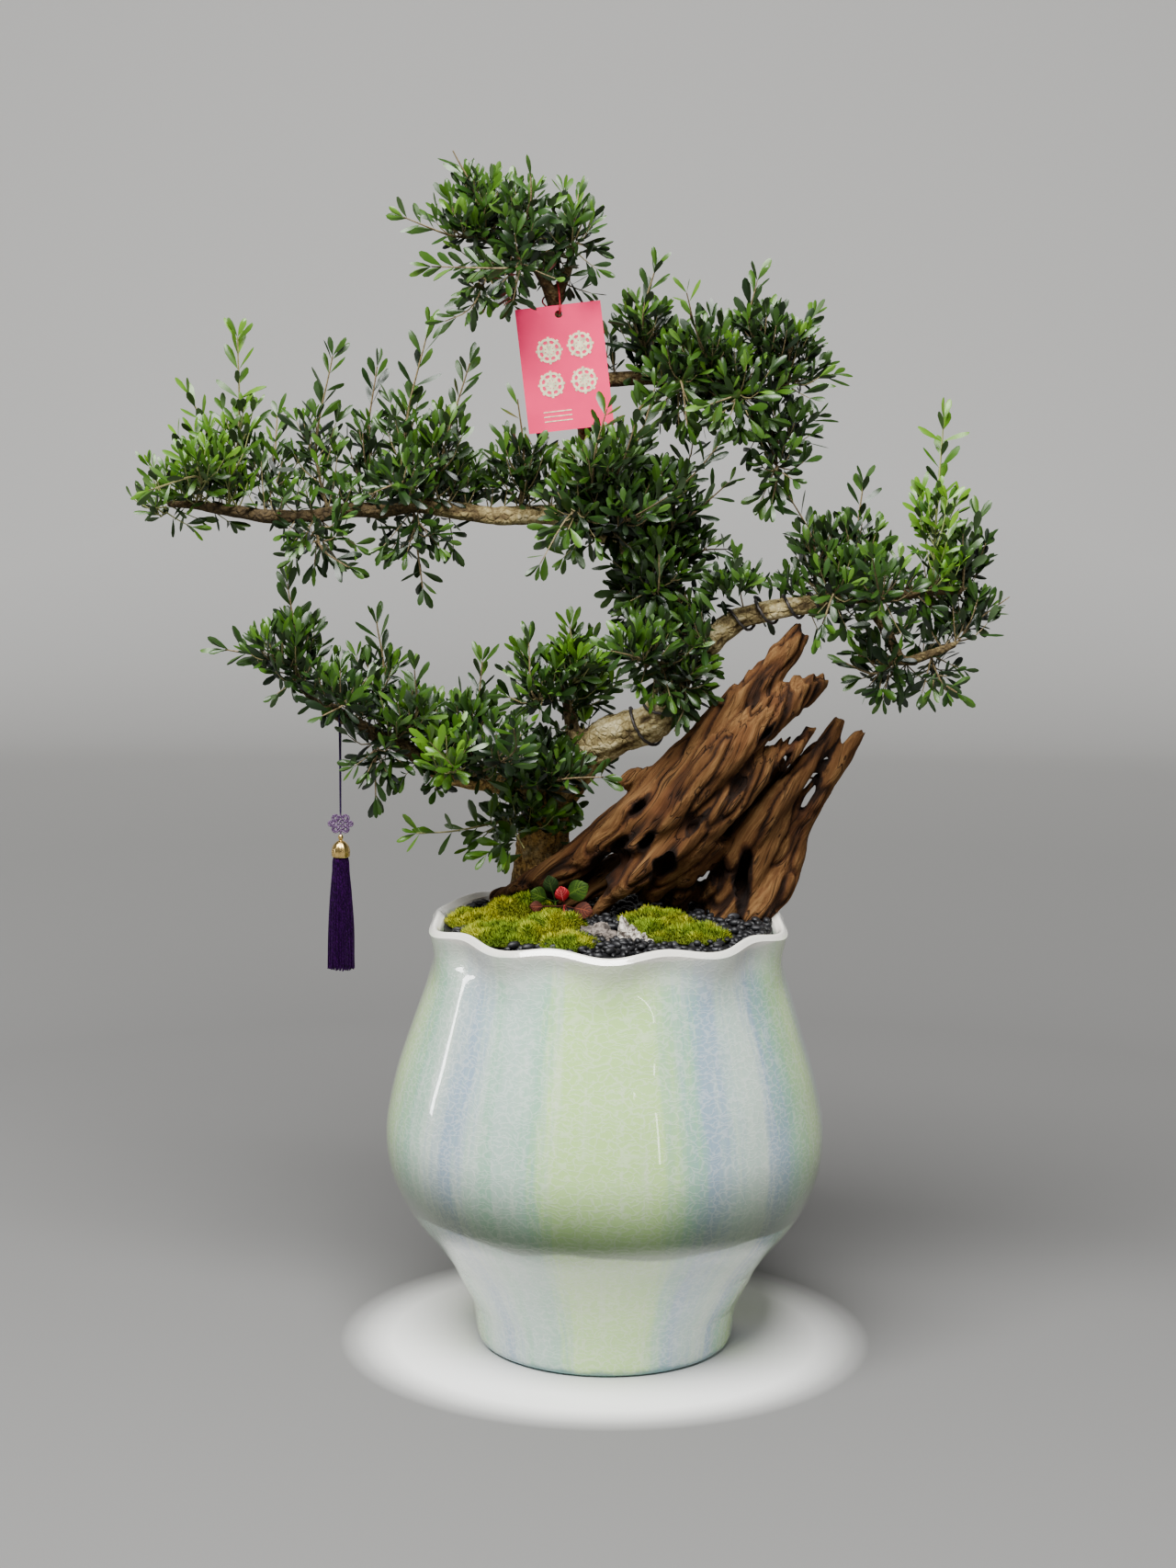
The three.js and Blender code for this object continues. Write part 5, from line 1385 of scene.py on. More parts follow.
    def build(self) -> None:
        """Fills the pot's mouth."""
        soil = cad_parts["soil"]
        soil.data.materials.clear()
        soil.data.materials.append(EARTH.material())
        self.lay_gravel()
        self.grow_moss("moss_cushion_left", MOSS_LEFT, "moss_left")
        self.grow_moss("moss_cushion_right", MOSS_RIGHT, "moss_right")
        self.set_stone("stone_low", STONE_FLAT, "grey_stone", ROCK_GREY, "stone_flat")
        self.set_stone("stone_tall", STONE_UPRIGHT, "pale_stone", ROCK_PALE, "stone_upright")


@dataclass
class Driftwood:
    """The weathered root that leans over the pot, with grooves and hollows along its grain."""

    rough_voxel: float = 2.4
    voxel: float = 2.05
    lean_left: float = 40.0
    lean_right: float = 62.0

    def lean_at(self, places: Points) -> Points:
        """The grain's rise at places, as an angle."""
        share = smooth(places[:, 0], -80, 180)
        return np.radians(self.lean_left + (self.lean_right - self.lean_left) * share)

    def along_grain(self, places: Points) -> Points:
        """Places in coordinates along the grain, across it and in depth."""
        lean = self.lean_at(places)
        x, z = places[:, 0], places[:, 2] - 440
        along, across = x * np.cos(lean) + z * np.sin(lean), z * np.cos(lean) - x * np.sin(lean)
        return np.stack([along, across, places[:, 1]], -1)

    @staticmethod
    def turned(lean: float) -> Points:
        """The turn of a hollow that leans by so many degrees."""
        return np.array(Matrix.Rotation(-math.radians(lean), 3, "Y"))

    @staticmethod
    def reach(ways: Points, seed: float) -> Points:
        """How far a hollow reaches each way: pointed at its ends and uneven."""
        along = np.abs(ways[:, 0])
        across = np.sqrt(np.maximum(1 - along ** 2, 0))
        return (along ** 1.3 + across ** 1.3) ** (-1 / 1.3) * (1.12 + 0.5 * bumps(ways + seed, 0.8))

    def build(self) -> bpy.types.Object:
        """Joins the strands, cuts the hollows and weathers the surface."""
        heap = Heap()
        for stops in STRANDS:
            line, radii = spline(stops, 8.0)
            heap.add(*tube(line, radii, 12))
        joined = ("REMESH", {"mode": "VOXEL", "voxel_size": self.rough_voxel * MM})
        fused = worked(heap.mesh("strands"), joined)
        holes = Heap()
        dome, faces = ball(3)
        for x, y, z, half_length, half_width, half_depth, lean in HOLLOWS:
            hollow = dome * self.reach(dome, x)[:, None] * (half_length, half_depth, half_width)
            holes.add(hollow @ self.turned(lean).T + (x, y, z), [faces])
        tool = worked(holes.mesh("hollows"), joined)
        mesh = worked(less(fused, tool), ("REMESH", {"mode": "VOXEL", "voxel_size": self.voxel * MM}),
                      ("SMOOTH", {"factor": 0.5, "iterations": 3}))
        places, out = corners_of(mesh)
        grain = self.along_grain(places)
        warp = 5.0 * bumps(places, 30.0)[:, None]
        broad = bumps(grain + warp, (130, 15, 15))
        cracks = np.exp(-(bumps(grain + warp + 40, (190, 15, 15)) / 0.11) ** 2)
        fine = bumps(grain + 120, (90, 4.2, 4.2))
        carved = 1.0 * fine - 2.6 * cracks
        relief = 3.0 * broad + 1.2 * bumps(places, 12.0) + carved
        lean = self.lean_at(places)
        rise = np.stack([np.cos(lean), 0 * lean, np.sin(lean)], -1)
        splinters = 8.0 * bumps(grain + 160, (300, 5, 7)) * smooth(places[:, 2], 450, 530)
        # Painted shade: ridge falls in the cracks and the low grooves, so the wood's colour darkens there.
        ridge = smooth(carved + 0.9 * broad, -3.6, 0.6)
        # Painted shade: ridge is cut to zero on the walls of each hollow and fades back over a rim round it.
        for x, y, z, half_length, half_width, half_depth, slant in HOLLOWS:
            half = np.array((half_length, half_depth, half_width))
            local = ((places - (x, y, z)) @ self.turned(slant)) / (half + 1)
            ridge *= smooth(np.linalg.norm(local, axis=1) / self.reach(unit(local), x), 1.0, 1.22)
        places = places + out * (relief * 0.9 + 0.3)[:, None] + rise * splinters[:, None]
        along, across, deep = ((grain + warp) * MM).T
        reshape(mesh, places, ridge=ridge, along=along, across=across, deep=deep)
        return Piece("driftwood_weathered", "driftwood", ("driftwood",), 70).place(mesh, DRIFTWOOD)


@dataclass
class BonsaiTree:
    """The trunk and branches under corky bark."""

    voxel: float = 2.3
    step: float = 6.0

    def build(self) -> bpy.types.Object:
        """Joins the limbs and raises the bark's plates."""
        heap = Heap()
        bones = []
        for number, stops in enumerate(LIMBS.values()):
            line, radii = spline(stops, self.step)
            heap.add(*tube(line, radii, 16))
            bones.append((line, radii, runs(line) + 900.0 * number, *frames(line)))
        line, radii, run, *ways = map(np.concatenate, zip(*bones))
        mesh = worked(heap.mesh("limbs"), ("REMESH", {"mode": "VOXEL", "voxel_size": self.voxel * MM}))
        places, out = corners_of(mesh)
        nearest = np.concatenate([
            np.argmin(((part[:, None] - line[None]) ** 2).sum(-1), axis=1)
            for part in np.array_split(places, max(1, len(places) // 3000))])
        thick = radii[nearest]
        local = places - line[nearest]
        aside = np.stack([(local * way[nearest]).sum(1) for way in ways], -1)
        grain = aside + np.outer(run[nearest], (1, 0, 0))
        plates = bumps(places, 12.0)
        cracks = 1 - 2 * np.abs(bumps(grain + 50, (30.0, 5.5, 5.5)))
        fine = bumps(grain + 90, (16.0, 3.0, 3.0))
        relief = plates * 1.1 + cracks * 0.9 + fine * 0.5
        depth = np.clip(thick * 0.11, 0.25, 2.0)
        pale = (0.35 + 0.65 * smooth(thick, 5.5, 9.0)) * (0.35 + 0.65 * smooth(places[:, 0], -260, -60))
        ridge = smooth(relief, -1.3, 1.7) * pale
        reshape(mesh, places + out * (relief * depth - 0.2 * depth)[:, None], ridge=ridge)
        return Piece("tree_limbs", "bark", ("trunk_and_branches",), 70).place(mesh, BARK)


@dataclass
class Clearing:
    """The space that leaves may fill: inside the part's box and clear of the tag, the tassel and the pot."""

    # Half width, depth and height
    tag_half: tuple[float, float, float] = (37.5, 2.5, 53.5)
    tassel_reach: float = 13.5
    cord_reach: float = 7.0
    pot_reach: float = 160.0
    pot_gap: float = 6.0
    margin: float = 0.4

    def __post_init__(self) -> None:
        """Works out the box and the cords' lines."""
        self.low = np.array(CAD_LOW) / MM + self.margin
        self.high = np.array(CAD_HIGH) / MM - self.margin
        self.cords = np.vstack([spline(route, 3.0)[0] for route in (TASSEL_ROUTE, TAG_THREAD_ROUTE)])

    def holds(self, groups: Points) -> Points:
        """Tells which groups of points lie wholly in the space.

        Args:
            groups: for each group its points, in millimetres.

        Returns:
            True or False for each.
        """
        inside = ((groups > self.low) & (groups < self.high)).all((1, 2))
        local = (groups - TAG_CENTRE) @ np.array([TAG_RIGHT, (0.0, 1.0, 0.0), TAG_UP]).T
        half = np.array(self.tag_half)
        off_tag = ~(np.abs(local) < half).all(-1).any(1)
        beside_tag = (np.abs(local.mean(1)) < half + 3)[:, [0, 2]].all(-1)
        crosses = beside_tag & (local[..., 1].min(1) < half[1]) & (local[..., 1].max(1) > -half[1])
        middles = groups.mean(1)
        x, y, z = middles.T
        shut = np.ones(len(groups), bool)
        for left, right, low, high, front in OPENINGS:
            shut &= ~((x > left) & (x < right) & (z > low) & (z < high) & (y < front))
        x, y, z = np.moveaxis(groups, -1, 0)
        away = np.hypot(x - CHARM_PLACE[0], y - CHARM_PLACE[1])
        off_tassel = ~((away < self.tassel_reach) & (z < CHARM_TOP + 4)).any(1)
        off_pot = ~((np.hypot(x, y) < self.pot_reach) & (z < GRAVEL_TOP + self.pot_gap)).any(1)
        near = np.array([((self.cords - middle) ** 2).sum(1).min() for middle in middles])
        off_cords = near > self.cord_reach ** 2
        return inside & shut & off_tag & ~crosses & off_tassel & off_pot & off_cords


@dataclass
class Foliage:
    """The leafy sprays: shoots with crossed pairs of small oval leaves."""

    side_shoots: int = 10
    limb_shoots: int = 6
    inner_half: float = 130.0
    inner_top: float = 900.0
    side_length: tuple[float, float] = (28.0, 50.0)
    pair_gap: float = 12.2
    leaf_length: tuple[float, float] = (20.0, 28.5)
    leaf_ratio: float = 0.315
    main_radius: float = 1.35
    side_radius: float = 0.75
    random: np.random.Generator = field(default_factory=lambda: np.random.default_rng(SEED + 1))
    clearing: Clearing = field(default_factory=Clearing)

    def __post_init__(self) -> None:
        """Works out the leaf's shape: eighteen corners round a thin folded blade."""
        rows = [(0.13, 0.24), (0.42, 0.78), (0.7, 1.0), (0.92, 0.6)]
        corners = [(0.0, 0.0, 0.0)]
        for along, wide in rows:
            sag = -0.1 * along ** 2
            lift = 0.055 * wide
            corners += [(along, -wide, sag - 0.04 * wide), (along, 0.0, sag + lift),
                        (along, wide, sag - 0.04 * wide), (along, 0.0, sag + lift - 0.045)]
        corners.append((1.0, 0.0, -0.1))
        self.leaf_corners = np.array(corners)
        quads, under_quads = [], []
        for row in range(3):
            a = 1 + 4 * row
            quads += [(a, a + 1, a + 5, a + 4), (a + 1, a + 2, a + 6, a + 5)]
            under_quads += [(a + 2, a + 3, a + 7, a + 6), (a + 3, a, a + 4, a + 7)]
        self.leaf_quads = np.array(quads + under_quads)[:, ::-1]
        self.leaf_ends = np.array([(0, 2, 1), (0, 3, 2), (17, 13, 14), (17, 14, 15),
                                   (0, 4, 3), (0, 1, 4), (17, 15, 16), (17, 16, 13)])[:, ::-1]
        self.under = np.array([0] * 6 + [1] * 6 + [0] * 4 + [1] * 4, float)

    def shoot(self, start: Points, middle: Points, tip: Points) -> Points:
        """A curved line from where a shoot leaves, past its middle, to its tip."""
        return spline([start, middle, tip], 3.0)[0]

    def leaves_on(self, line: Points, bare: float, vigour: float, size: float,
                  last: float) -> dict[str, Points]:
        """Leaves in crossed pairs along a shoot.

        Args:
            line: the shoot.
            bare: the length without leaves at its foot.
            vigour: how young it is.
            size: scale of its leaves.
            last: scale of the leaves at its tip.

        Returns:
            Places, directions, faces' directions, lengths, tones and youth of the leaves.
        """
        ahead, across, upward = frames(line)
        run = runs(line)
        total = run[-1]
        gap = self.pair_gap * self.random.uniform(0.85, 1.15)
        stations = np.arange(min(bare, total * 0.5), total - 1.0, gap)
        turn = self.random.uniform(0, math.pi)
        shoot_tone = self.random.uniform(-0.25, 0.25)
        made: dict[str, list] = {key: [] for key in ("place", "way", "face", "length", "tone", "young")}

        def set_leaf(place: Points, way: Points, stem: Points, share: float, scale: float) -> None:
            """Notes one leaf.

            Args:
                place: where it is fixed.
                way: its direction.
                stem: the shoot's direction there.
                share: how far along the shoot it is.
                scale: scale of its length.
            """
            face = stem + np.array((0.0, -0.55, 0.45)) + self.random.normal(0, 0.28, 3)
            face = face - way * float(face @ way)
            made["place"].append(place)
            made["way"].append(way)
            made["face"].append(face / max(np.linalg.norm(face), 1e-6))
            made["length"].append(self.random.uniform(*self.leaf_length) * scale)
            # The tone rises along the shoot: leaves near its foot, deep in the spray, are darker, partly for
            # their age and partly as painted shade of the spray's interior.
            tone = 0.26 + 0.34 * share + shoot_tone + self.random.normal(0, 0.18)
            made["tone"].append(np.clip(tone, 0, 1))
            youth = vigour * (0.35 + 0.65 * share) + (0.2 if share > 0.86 else 0.0) * (0.4 + vigour)
            made["young"].append(np.clip(youth + self.random.normal(0, 0.06), 0, 1))

        for pair, station in enumerate(stations):
            at = min(int(np.searchsorted(run, station)), len(line) - 1)
            share = station / total
            angle = turn + (math.pi / 2) * (pair % 2) + self.random.normal(0, 0.22)
            spread = math.radians(62 - 28 * share + self.random.normal(0, 8))
            scale = size * (1 - (1 - last) * share ** 2) * (0.72 if pair == 0 else 1.0)
            for side in (0.0, math.pi):
                out = across[at] * math.cos(angle + side) + upward[at] * math.sin(angle + side)
                way = ahead[at] * math.cos(spread) + out * math.sin(spread)
                way = way + np.array((0, 0, 0.16)) + self.random.normal(0, 0.1, 3)
                way /= np.linalg.norm(way)
                set_leaf(line[at] + out * 0.5, way, ahead[at], share, scale)
        tip_turn = self.random.uniform(0, 6.3)
        for side in (0.0, math.pi):
            out = across[-1] * math.cos(tip_turn + side) + upward[-1] * math.sin(tip_turn + side)
            way = ahead[-1] * 0.93 + out * 0.36
            set_leaf(line[-1], way / np.linalg.norm(way), ahead[-1], 1.0, size * last * 0.85)
        return {key: np.array(values) for key, values in made.items()}

    def add_leaves(self, heap: Heap, leaves: dict[str, Points]) -> int:
        """Adds the leaves that have room.

        Args:
            heap: the spray's mesh in the making.
            leaves: what leaves_on gives.

        Returns:
            How many there was room for.
        """
        way, face = leaves["way"], leaves["face"]
        wide = np.cross(face, way)
        length = leaves["length"][:, None, None]
        ratio = self.leaf_ratio * self.random.uniform(0.88, 1.12, (len(way), 1))
        shape = self.leaf_corners
        bend = self.random.uniform(0.2, 1.6, (len(way), 1))
        corners = (leaves["place"][:, None]
                   + way[:, None] * shape[None, :, :1] * length
                   + wide[:, None] * (shape[None, :, 1] * ratio / 2)[:, :, None] * length
                   + face[:, None] * (shape[None, :, 2] * bend)[:, :, None] * length)
        fits = self.clearing.holds(corners)
        for i in np.flatnonzero(fits):
            heap.add(corners[i], [self.leaf_quads, self.leaf_ends], under=self.under,
                     tone=leaves["tone"][i], young=leaves["young"][i])
        return int(fits.sum())

    def add_twig(self, heap: Heap, line: Points, radius: float, vigour: float) -> None:
        """Adds the bare wood of a shoot.

        Args:
            heap: the spray's mesh in the making.
            line: the shoot.
            radius: its radius at the foot.
            vigour: how young it is.
        """
        line = np.vstack([line[:-2:3], line[-1:]])
        taper = np.linspace(radius, max(0.38, radius * 0.42), len(line))
        if self.clearing.holds(line[None]).all():
            heap.add(*tube(line, taper, 4), finish=1, young=np.clip(vigour * 1.1, 0, 1))

    def grow(self, name: str, limb: str, vigour: Vigour, tufts: Stops) -> None:
        """Grows one spray.

        Args:
            name: its name.
            limb: the limb that it grows from.
            vigour: how young it looks.
            tufts: middle and furthest tip of each of its tufts.
        """
        heap = Heap()
        limb_line = spline(LIMBS[limb], 4.0)[0]
        count = 0
        youth = vigour.value
        golden = math.pi * (3 - 5 ** 0.5)
        for tuft in tufts:
            middle, tip = np.array(tuft, float).reshape(2, 3)
            foot = limb_line[np.argmin(np.linalg.norm(limb_line - middle, axis=1))]
            main = self.shoot(foot, middle, tip)
            self.add_twig(heap, main, self.main_radius, youth * 0.5)
            total = length_of(main)
            count += self.add_leaves(heap, self.leaves_on(main, total * 0.3, youth, 1.0, 0.84))
            ahead, across, upward = frames(main)
            starts = []
            lift = (0.0, 0.0, 0.6 if tip[2] > foot[2] else -0.1)
            dense = 1.5 if abs(middle[0]) < self.inner_half and middle[2] < self.inner_top else 0.93
            shoots = round(self.side_shoots * dense * min(1.2, max(0.6, total / 55)))
            for side in range(shoots):
                share = 0.02 + 0.44 * (side + 0.5) / shoots
                at = int(share * (len(main) - 1))
                angle = golden * side + self.random.uniform(-0.4, 0.4)
                spread = math.radians(self.random.uniform(32, 72))
                out = across[at] * math.cos(angle) + upward[at] * math.sin(angle)
                way = unit(ahead[at] * math.cos(spread) + out * math.sin(spread) + lift)
                length = min(self.random.uniform(*self.side_length), (0.55 - share) * total + 10)
                starts.append((main[at], way, length))
            near = np.flatnonzero(np.linalg.norm(limb_line - foot, axis=1) < 42)
            for place in limb_line[self.random.choice(near, self.limb_shoots)]:
                way = unit(self.random.normal(0, 0.7, 3) + lift + 0.4 * unit(middle - place))
                starts.append((place, way, self.random.uniform(22, 36)))
            for start, way, length in starts:
                bend = start + way * length * 0.5
                end = bend + unit(way + np.array((0.0, 0.0, 0.7 if way[2] > -0.3 else 0.1))) * length * 0.5
                line = self.shoot(start, bend, end)
                self.add_twig(heap, line, self.side_radius, youth)
                count += self.add_leaves(heap, self.leaves_on(line, 7.0, youth, 0.95, 0.8))
        LOG.info("%s: %d leaves", name, count)
        piece = Piece("foliage_" + name, "boxwood_leaves", ("spray_" + name,), 60)
        piece.place(heap.mesh(name), LEAF, TWIG)

    def build(self) -> None:
        """Grows all sprays."""
        for name, (limb, vigour, tufts) in SPRAYS.items():
            self.grow(name, limb, vigour, tufts)


@dataclass
class NervePlant:
    """A small plant of oval leaves with drawn veins."""

    name: str
    foot: tuple[float, float]
    leaves: Stops
    finishes: tuple[NerveLeaf, ...]
    node: str
    slot: str
    rise: float = 19.0

    def add_leaf(self, heap: Heap, place: Sequence[float], half: float, finish: int) -> None:
        """Adds a leaf on its stalk.

        Args:
            heap: the plant's mesh in the making.
            place: the blade's middle.
            half: half of its length.
            finish: which of the plant's finishes it has.
        """
        middle = np.array(place, float)
        top = np.array((*self.foot, GRAVEL_TOP + self.rise - 2))
        way = unit(middle - top)
        facing = np.array((0.0, -1.0, 0.4))
        facing = unit(facing - way * float(facing @ way))
        wide = np.cross(facing, way)
        root = middle - way * half
        stalk = spline([top, top + (root - top) * 0.6, root + way * 2], 3.0)[0]
        heap.add(*tube(stalk, np.full(1, 0.6), 6), finish=1, vein=0.0)
        rows, columns = 21, 15
        along = np.linspace(0.0, 1.0, rows)
        side = np.linspace(-1.0, 1.0, columns)
        grid_along, grid_side = np.meshgrid(along, side, indexing="ij")
        width = 0.85 * half * np.sin(math.pi * np.clip(grid_along, 0.02, 0.985)) ** 0.75
        veins = np.abs(((grid_along - 0.5 * np.abs(grid_side) * 0.7) * 7.0) % 1.0 - 0.5)
        vein = np.maximum(smooth(0.1 - veins, 0.0, 0.09), smooth(0.1 - np.abs(grid_side), 0.0, 0.08))
        lift = 0.9 * (1 - grid_side ** 2) - 0.1 * half * (grid_along - 0.4) ** 2 * 4 - 0.35 * vein
        blade = (root + way * (grid_along * 2 * half)[..., None] + wide * (grid_side * width)[..., None]
                 + facing * lift[..., None]).reshape(-1, 3)
        under = blade - facing * 0.45
        row, column = np.meshgrid(np.arange(rows - 1), np.arange(columns - 1), indexing="ij")
        corner = (row * columns + column).ravel()
        upper = np.stack([corner, corner + 1, corner + columns + 1, corner + columns], -1)
        size = rows * columns
        edge = np.array([*range(columns), *range(2 * columns - 1, size, columns),
                         *range(size - 2, size - columns - 1, -1), *range(size - 2 * columns, 0, -columns)])
        after = np.roll(edge, -1)
        rim = np.stack([edge, edge + size, after + size, after], -1)
        tones = vein[:-1, :-1].ravel()
        heap.add(np.vstack([blade, under]), [upper[:, ::-1], upper + size, rim[:, ::-1]], finish,
                 vein=np.concatenate([tones, tones * 0.5, np.zeros(len(rim))]))

    def build(self) -> bpy.types.Object:
        """Grows the plant."""
        heap = Heap()
        x, y = self.foot
        stem = spline([(x, y, GRAVEL_TOP - 6, 1.3), (x, y, GRAVEL_TOP + self.rise - 1, 1.0)], 4.0)
        heap.add(*tube(*stem, 8), vein=0.3)
        for *place, half, finish in self.leaves:
            self.add_leaf(heap, place, half, finish)
        return Piece(self.name, self.slot, (self.node,), 60).place(heap.mesh(self.name), *self.finishes)


@dataclass
class TrainingWires:
    """Annealed wire wound round the bark."""

    radius: float = 1.35
    gap: float = 1.4

    def wind(self, name: str, limb: str, span: tuple[float, float], turns: float,
             node: str) -> bpy.types.Object:
        """Winds one wire.

        Args:
            name: the piece's name.
            limb: the limb that it goes round.
            span: where it starts and ends, as shares of the limb's length.
            turns: how many times it goes round.
            node: the solid that it stands for.

        Returns:
            The piece.
        """
        line, radii = spline(LIMBS[limb], 1.0)
        _, across, upward = frames(line)
        shares = np.linspace(*span, int(turns * 40))
        at = (shares * (len(line) - 1)).astype(int)
        angle = 2 * math.pi * turns * (shares - span[0]) / (span[1] - span[0])
        reach = radii[at] * 1.04 + self.radius + self.gap * 0.5
        out = across[at] * np.cos(angle)[:, None] + upward[at] * np.sin(angle)[:, None]
        coil = line[at] + out * reach[:, None]
        heap = Heap().add(*tube(coil, np.full(len(coil), self.radius), 10))
        return Piece(name, "wire", (node,)).place(heap.mesh(name), WIRE)

    def build(self) -> None:
        """Winds both wires."""
        self.wind("wire_coil_upper", "right", (0.2, 0.62), 4.5, "training_wire_upper")
        self.wind("wire_coil_lower", "trunk", (0.74, 0.86), 1.8, "training_wire_lower")


@dataclass
class GreetingTag:
    """A stiff red card on a thread, with a plain gold ornament."""

    width: float = 72.6
    height: float = 105.0
    thickness: float = 1.2
    hole_radius: float = 3.2
    hole_up: float = 45.0
    band_half: float = 7.5
    rosette_places: Stops = ((-11.3, 15.5), (15.3, 17.9), (-12.5, -13.0), (15.4, -12.4))
    rosette_half: float = 11.5
    rosette_stroke: float = 2.0
    lines_down: Sequence[float] = (-36.0, -40.0, -44.0)
    line_stroke: float = 0.8

    def laid(self, flat: Points, out: float) -> Points:
        """Puts flat points on the card's face, out from its middle plane."""
        flat = np.asarray(flat, float)
        return TAG_CENTRE + flat[:, :1] * TAG_RIGHT + flat[:, 1:] * TAG_UP - np.array((0.0, out, 0.0))

    def add_slab(self, heap: Heap, outline: Points, low: float, high: float, finish: int) -> None:
        """Adds a flat shape with a thickness.

        Args:
            heap: the card's mesh in the making.
            outline: its convex outline on the card.
            low: how far out from the card's middle plane it starts.
            high: how far out it ends.
            finish: which of the card's finishes it has.
        """
        count = len(outline)
        corners = np.vstack([self.laid(outline, low), self.laid(outline, high)])
        around = np.arange(count)
        after = (around + 1) % count
        rim = np.stack([around, after, after + count, around + count], -1)
        heap.add(corners, [(around + count)[None], around[None, ::-1], rim], finish=finish)

    def add_stroke(self, heap: Heap, start: Sequence[float], end: Sequence[float], wide: float,
                   over: int = 0) -> None:
        """Adds a straight gold stroke.

        Args:
            heap: the card's mesh in the making.
            start: where it starts on the card.
            end: where it ends.
            wide: its width.
            over: how many others it lies over.
        """
        start, end = np.array(start, float), np.array(end, float)
        along = (end - start) / np.linalg.norm(end - start)
        aside = np.array((-along[1], along[0])) * wide / 2
        outline = np.array([start - aside, end - aside, end + aside, start + aside])
        face = self.thickness / 2
        self.add_slab(heap, outline, face + 0.02, face + 0.2 + 0.03 * over, 1)

    def add_rosette(self, heap: Heap, middle: Sequence[float]) -> None:
        """Adds four crossed strokes and two rings of eight.

        Args:
            heap: the card's mesh in the making.
            middle: where it is on the card.
        """
        middle, stroke = np.array(middle), self.rosette_stroke
        spokes = [self.rosette_half * np.array((math.cos(turn), math.sin(turn)))
                  for turn in np.arange(16) * math.pi / 8]
        for number, spoke in enumerate(spokes[:8:2]):
            self.add_stroke(heap, middle - spoke, middle + spoke, stroke, number)
        for share in (0.45, 0.85):
            for side in range(8):
                start, end = (middle + share * spokes[(2 * side + step) % 16] for step in (1, 3))
                self.add_stroke(heap, start, end, stroke, 5 + side % 2)

    def card(self) -> bpy.types.Object:
        """The card with its hole and ornament."""
        heap = Heap()
        half, face, top = self.width / 2, self.thickness / 2, self.hole_up - self.band_half
        corner = math.atan2(self.band_half, half)
        turns = np.sort([*(np.arange(44) * math.pi / 22 + 0.03),
                         corner, math.pi - corner, math.pi + corner, 2 * math.pi - corner])
        ways = np.stack([np.cos(turns), np.sin(turns)], -1)
        reach = ((half, self.band_half) / np.maximum(np.abs(ways), 1e-9)).min(-1, keepdims=True)
        hole, ring = ways * self.hole_radius + (0, self.hole_up), ways * reach + (0, self.hole_up)
        count = len(turns)
        around = np.arange(count)
        after = (around + 1) % count
        front = np.stack([around, around + count, after + count, after], -1)
        inner = np.stack([around, after, after + 2 * count, around + 2 * count], -1)
        outer = np.stack([around + count, around + 3 * count, after + 3 * count, after + count], -1)
        heap.add(np.vstack([self.laid(flat, side) for side in (face, -face) for flat in (hole, ring)]),
                 [front, front[:, ::-1] + 2 * count, inner, outer])
        low = -self.height / 2
        self.add_slab(heap, np.array([(-half, low), (half, low), (half, top), (-half, top)]), -face, face, 0)
        for place in self.rosette_places:
            self.add_rosette(heap, place)
        for down in self.lines_down:
            self.add_stroke(heap, (-22, down), (2, down), self.line_stroke)
        piece = Piece("tag_card", "tag_card", ("greeting_tag",), 30)
        return piece.place(heap.mesh("tag_card"), RED_CARD, GOLD_INK)

    def build(self) -> None:
        """Makes the card and the thread that it hangs on."""
        self.card()
        hang("tag_loop", "tag_thread", TAG_THREAD_ROUTE, RED_THREAD, "tag_thread")


def hang(name: str, slot: str, route: Stops, finish: Finish, node: str) -> bpy.types.Object:
    """Args:
        name: the piece's name.
        slot: its material slot.
        route: the route's points.
        finish: its finish.
        node: the solid that it stands for.

    Returns:
        The cord.
    """
    line = spline(route, 1.2)[0]
    heap = Heap().add(*tube(line, np.full(len(line), CORD_RADIUS), 12, strands=2, twist=0.22))
    piece = Piece(name, slot, (node,), 80).place(heap.mesh(name), finish)
    return piece


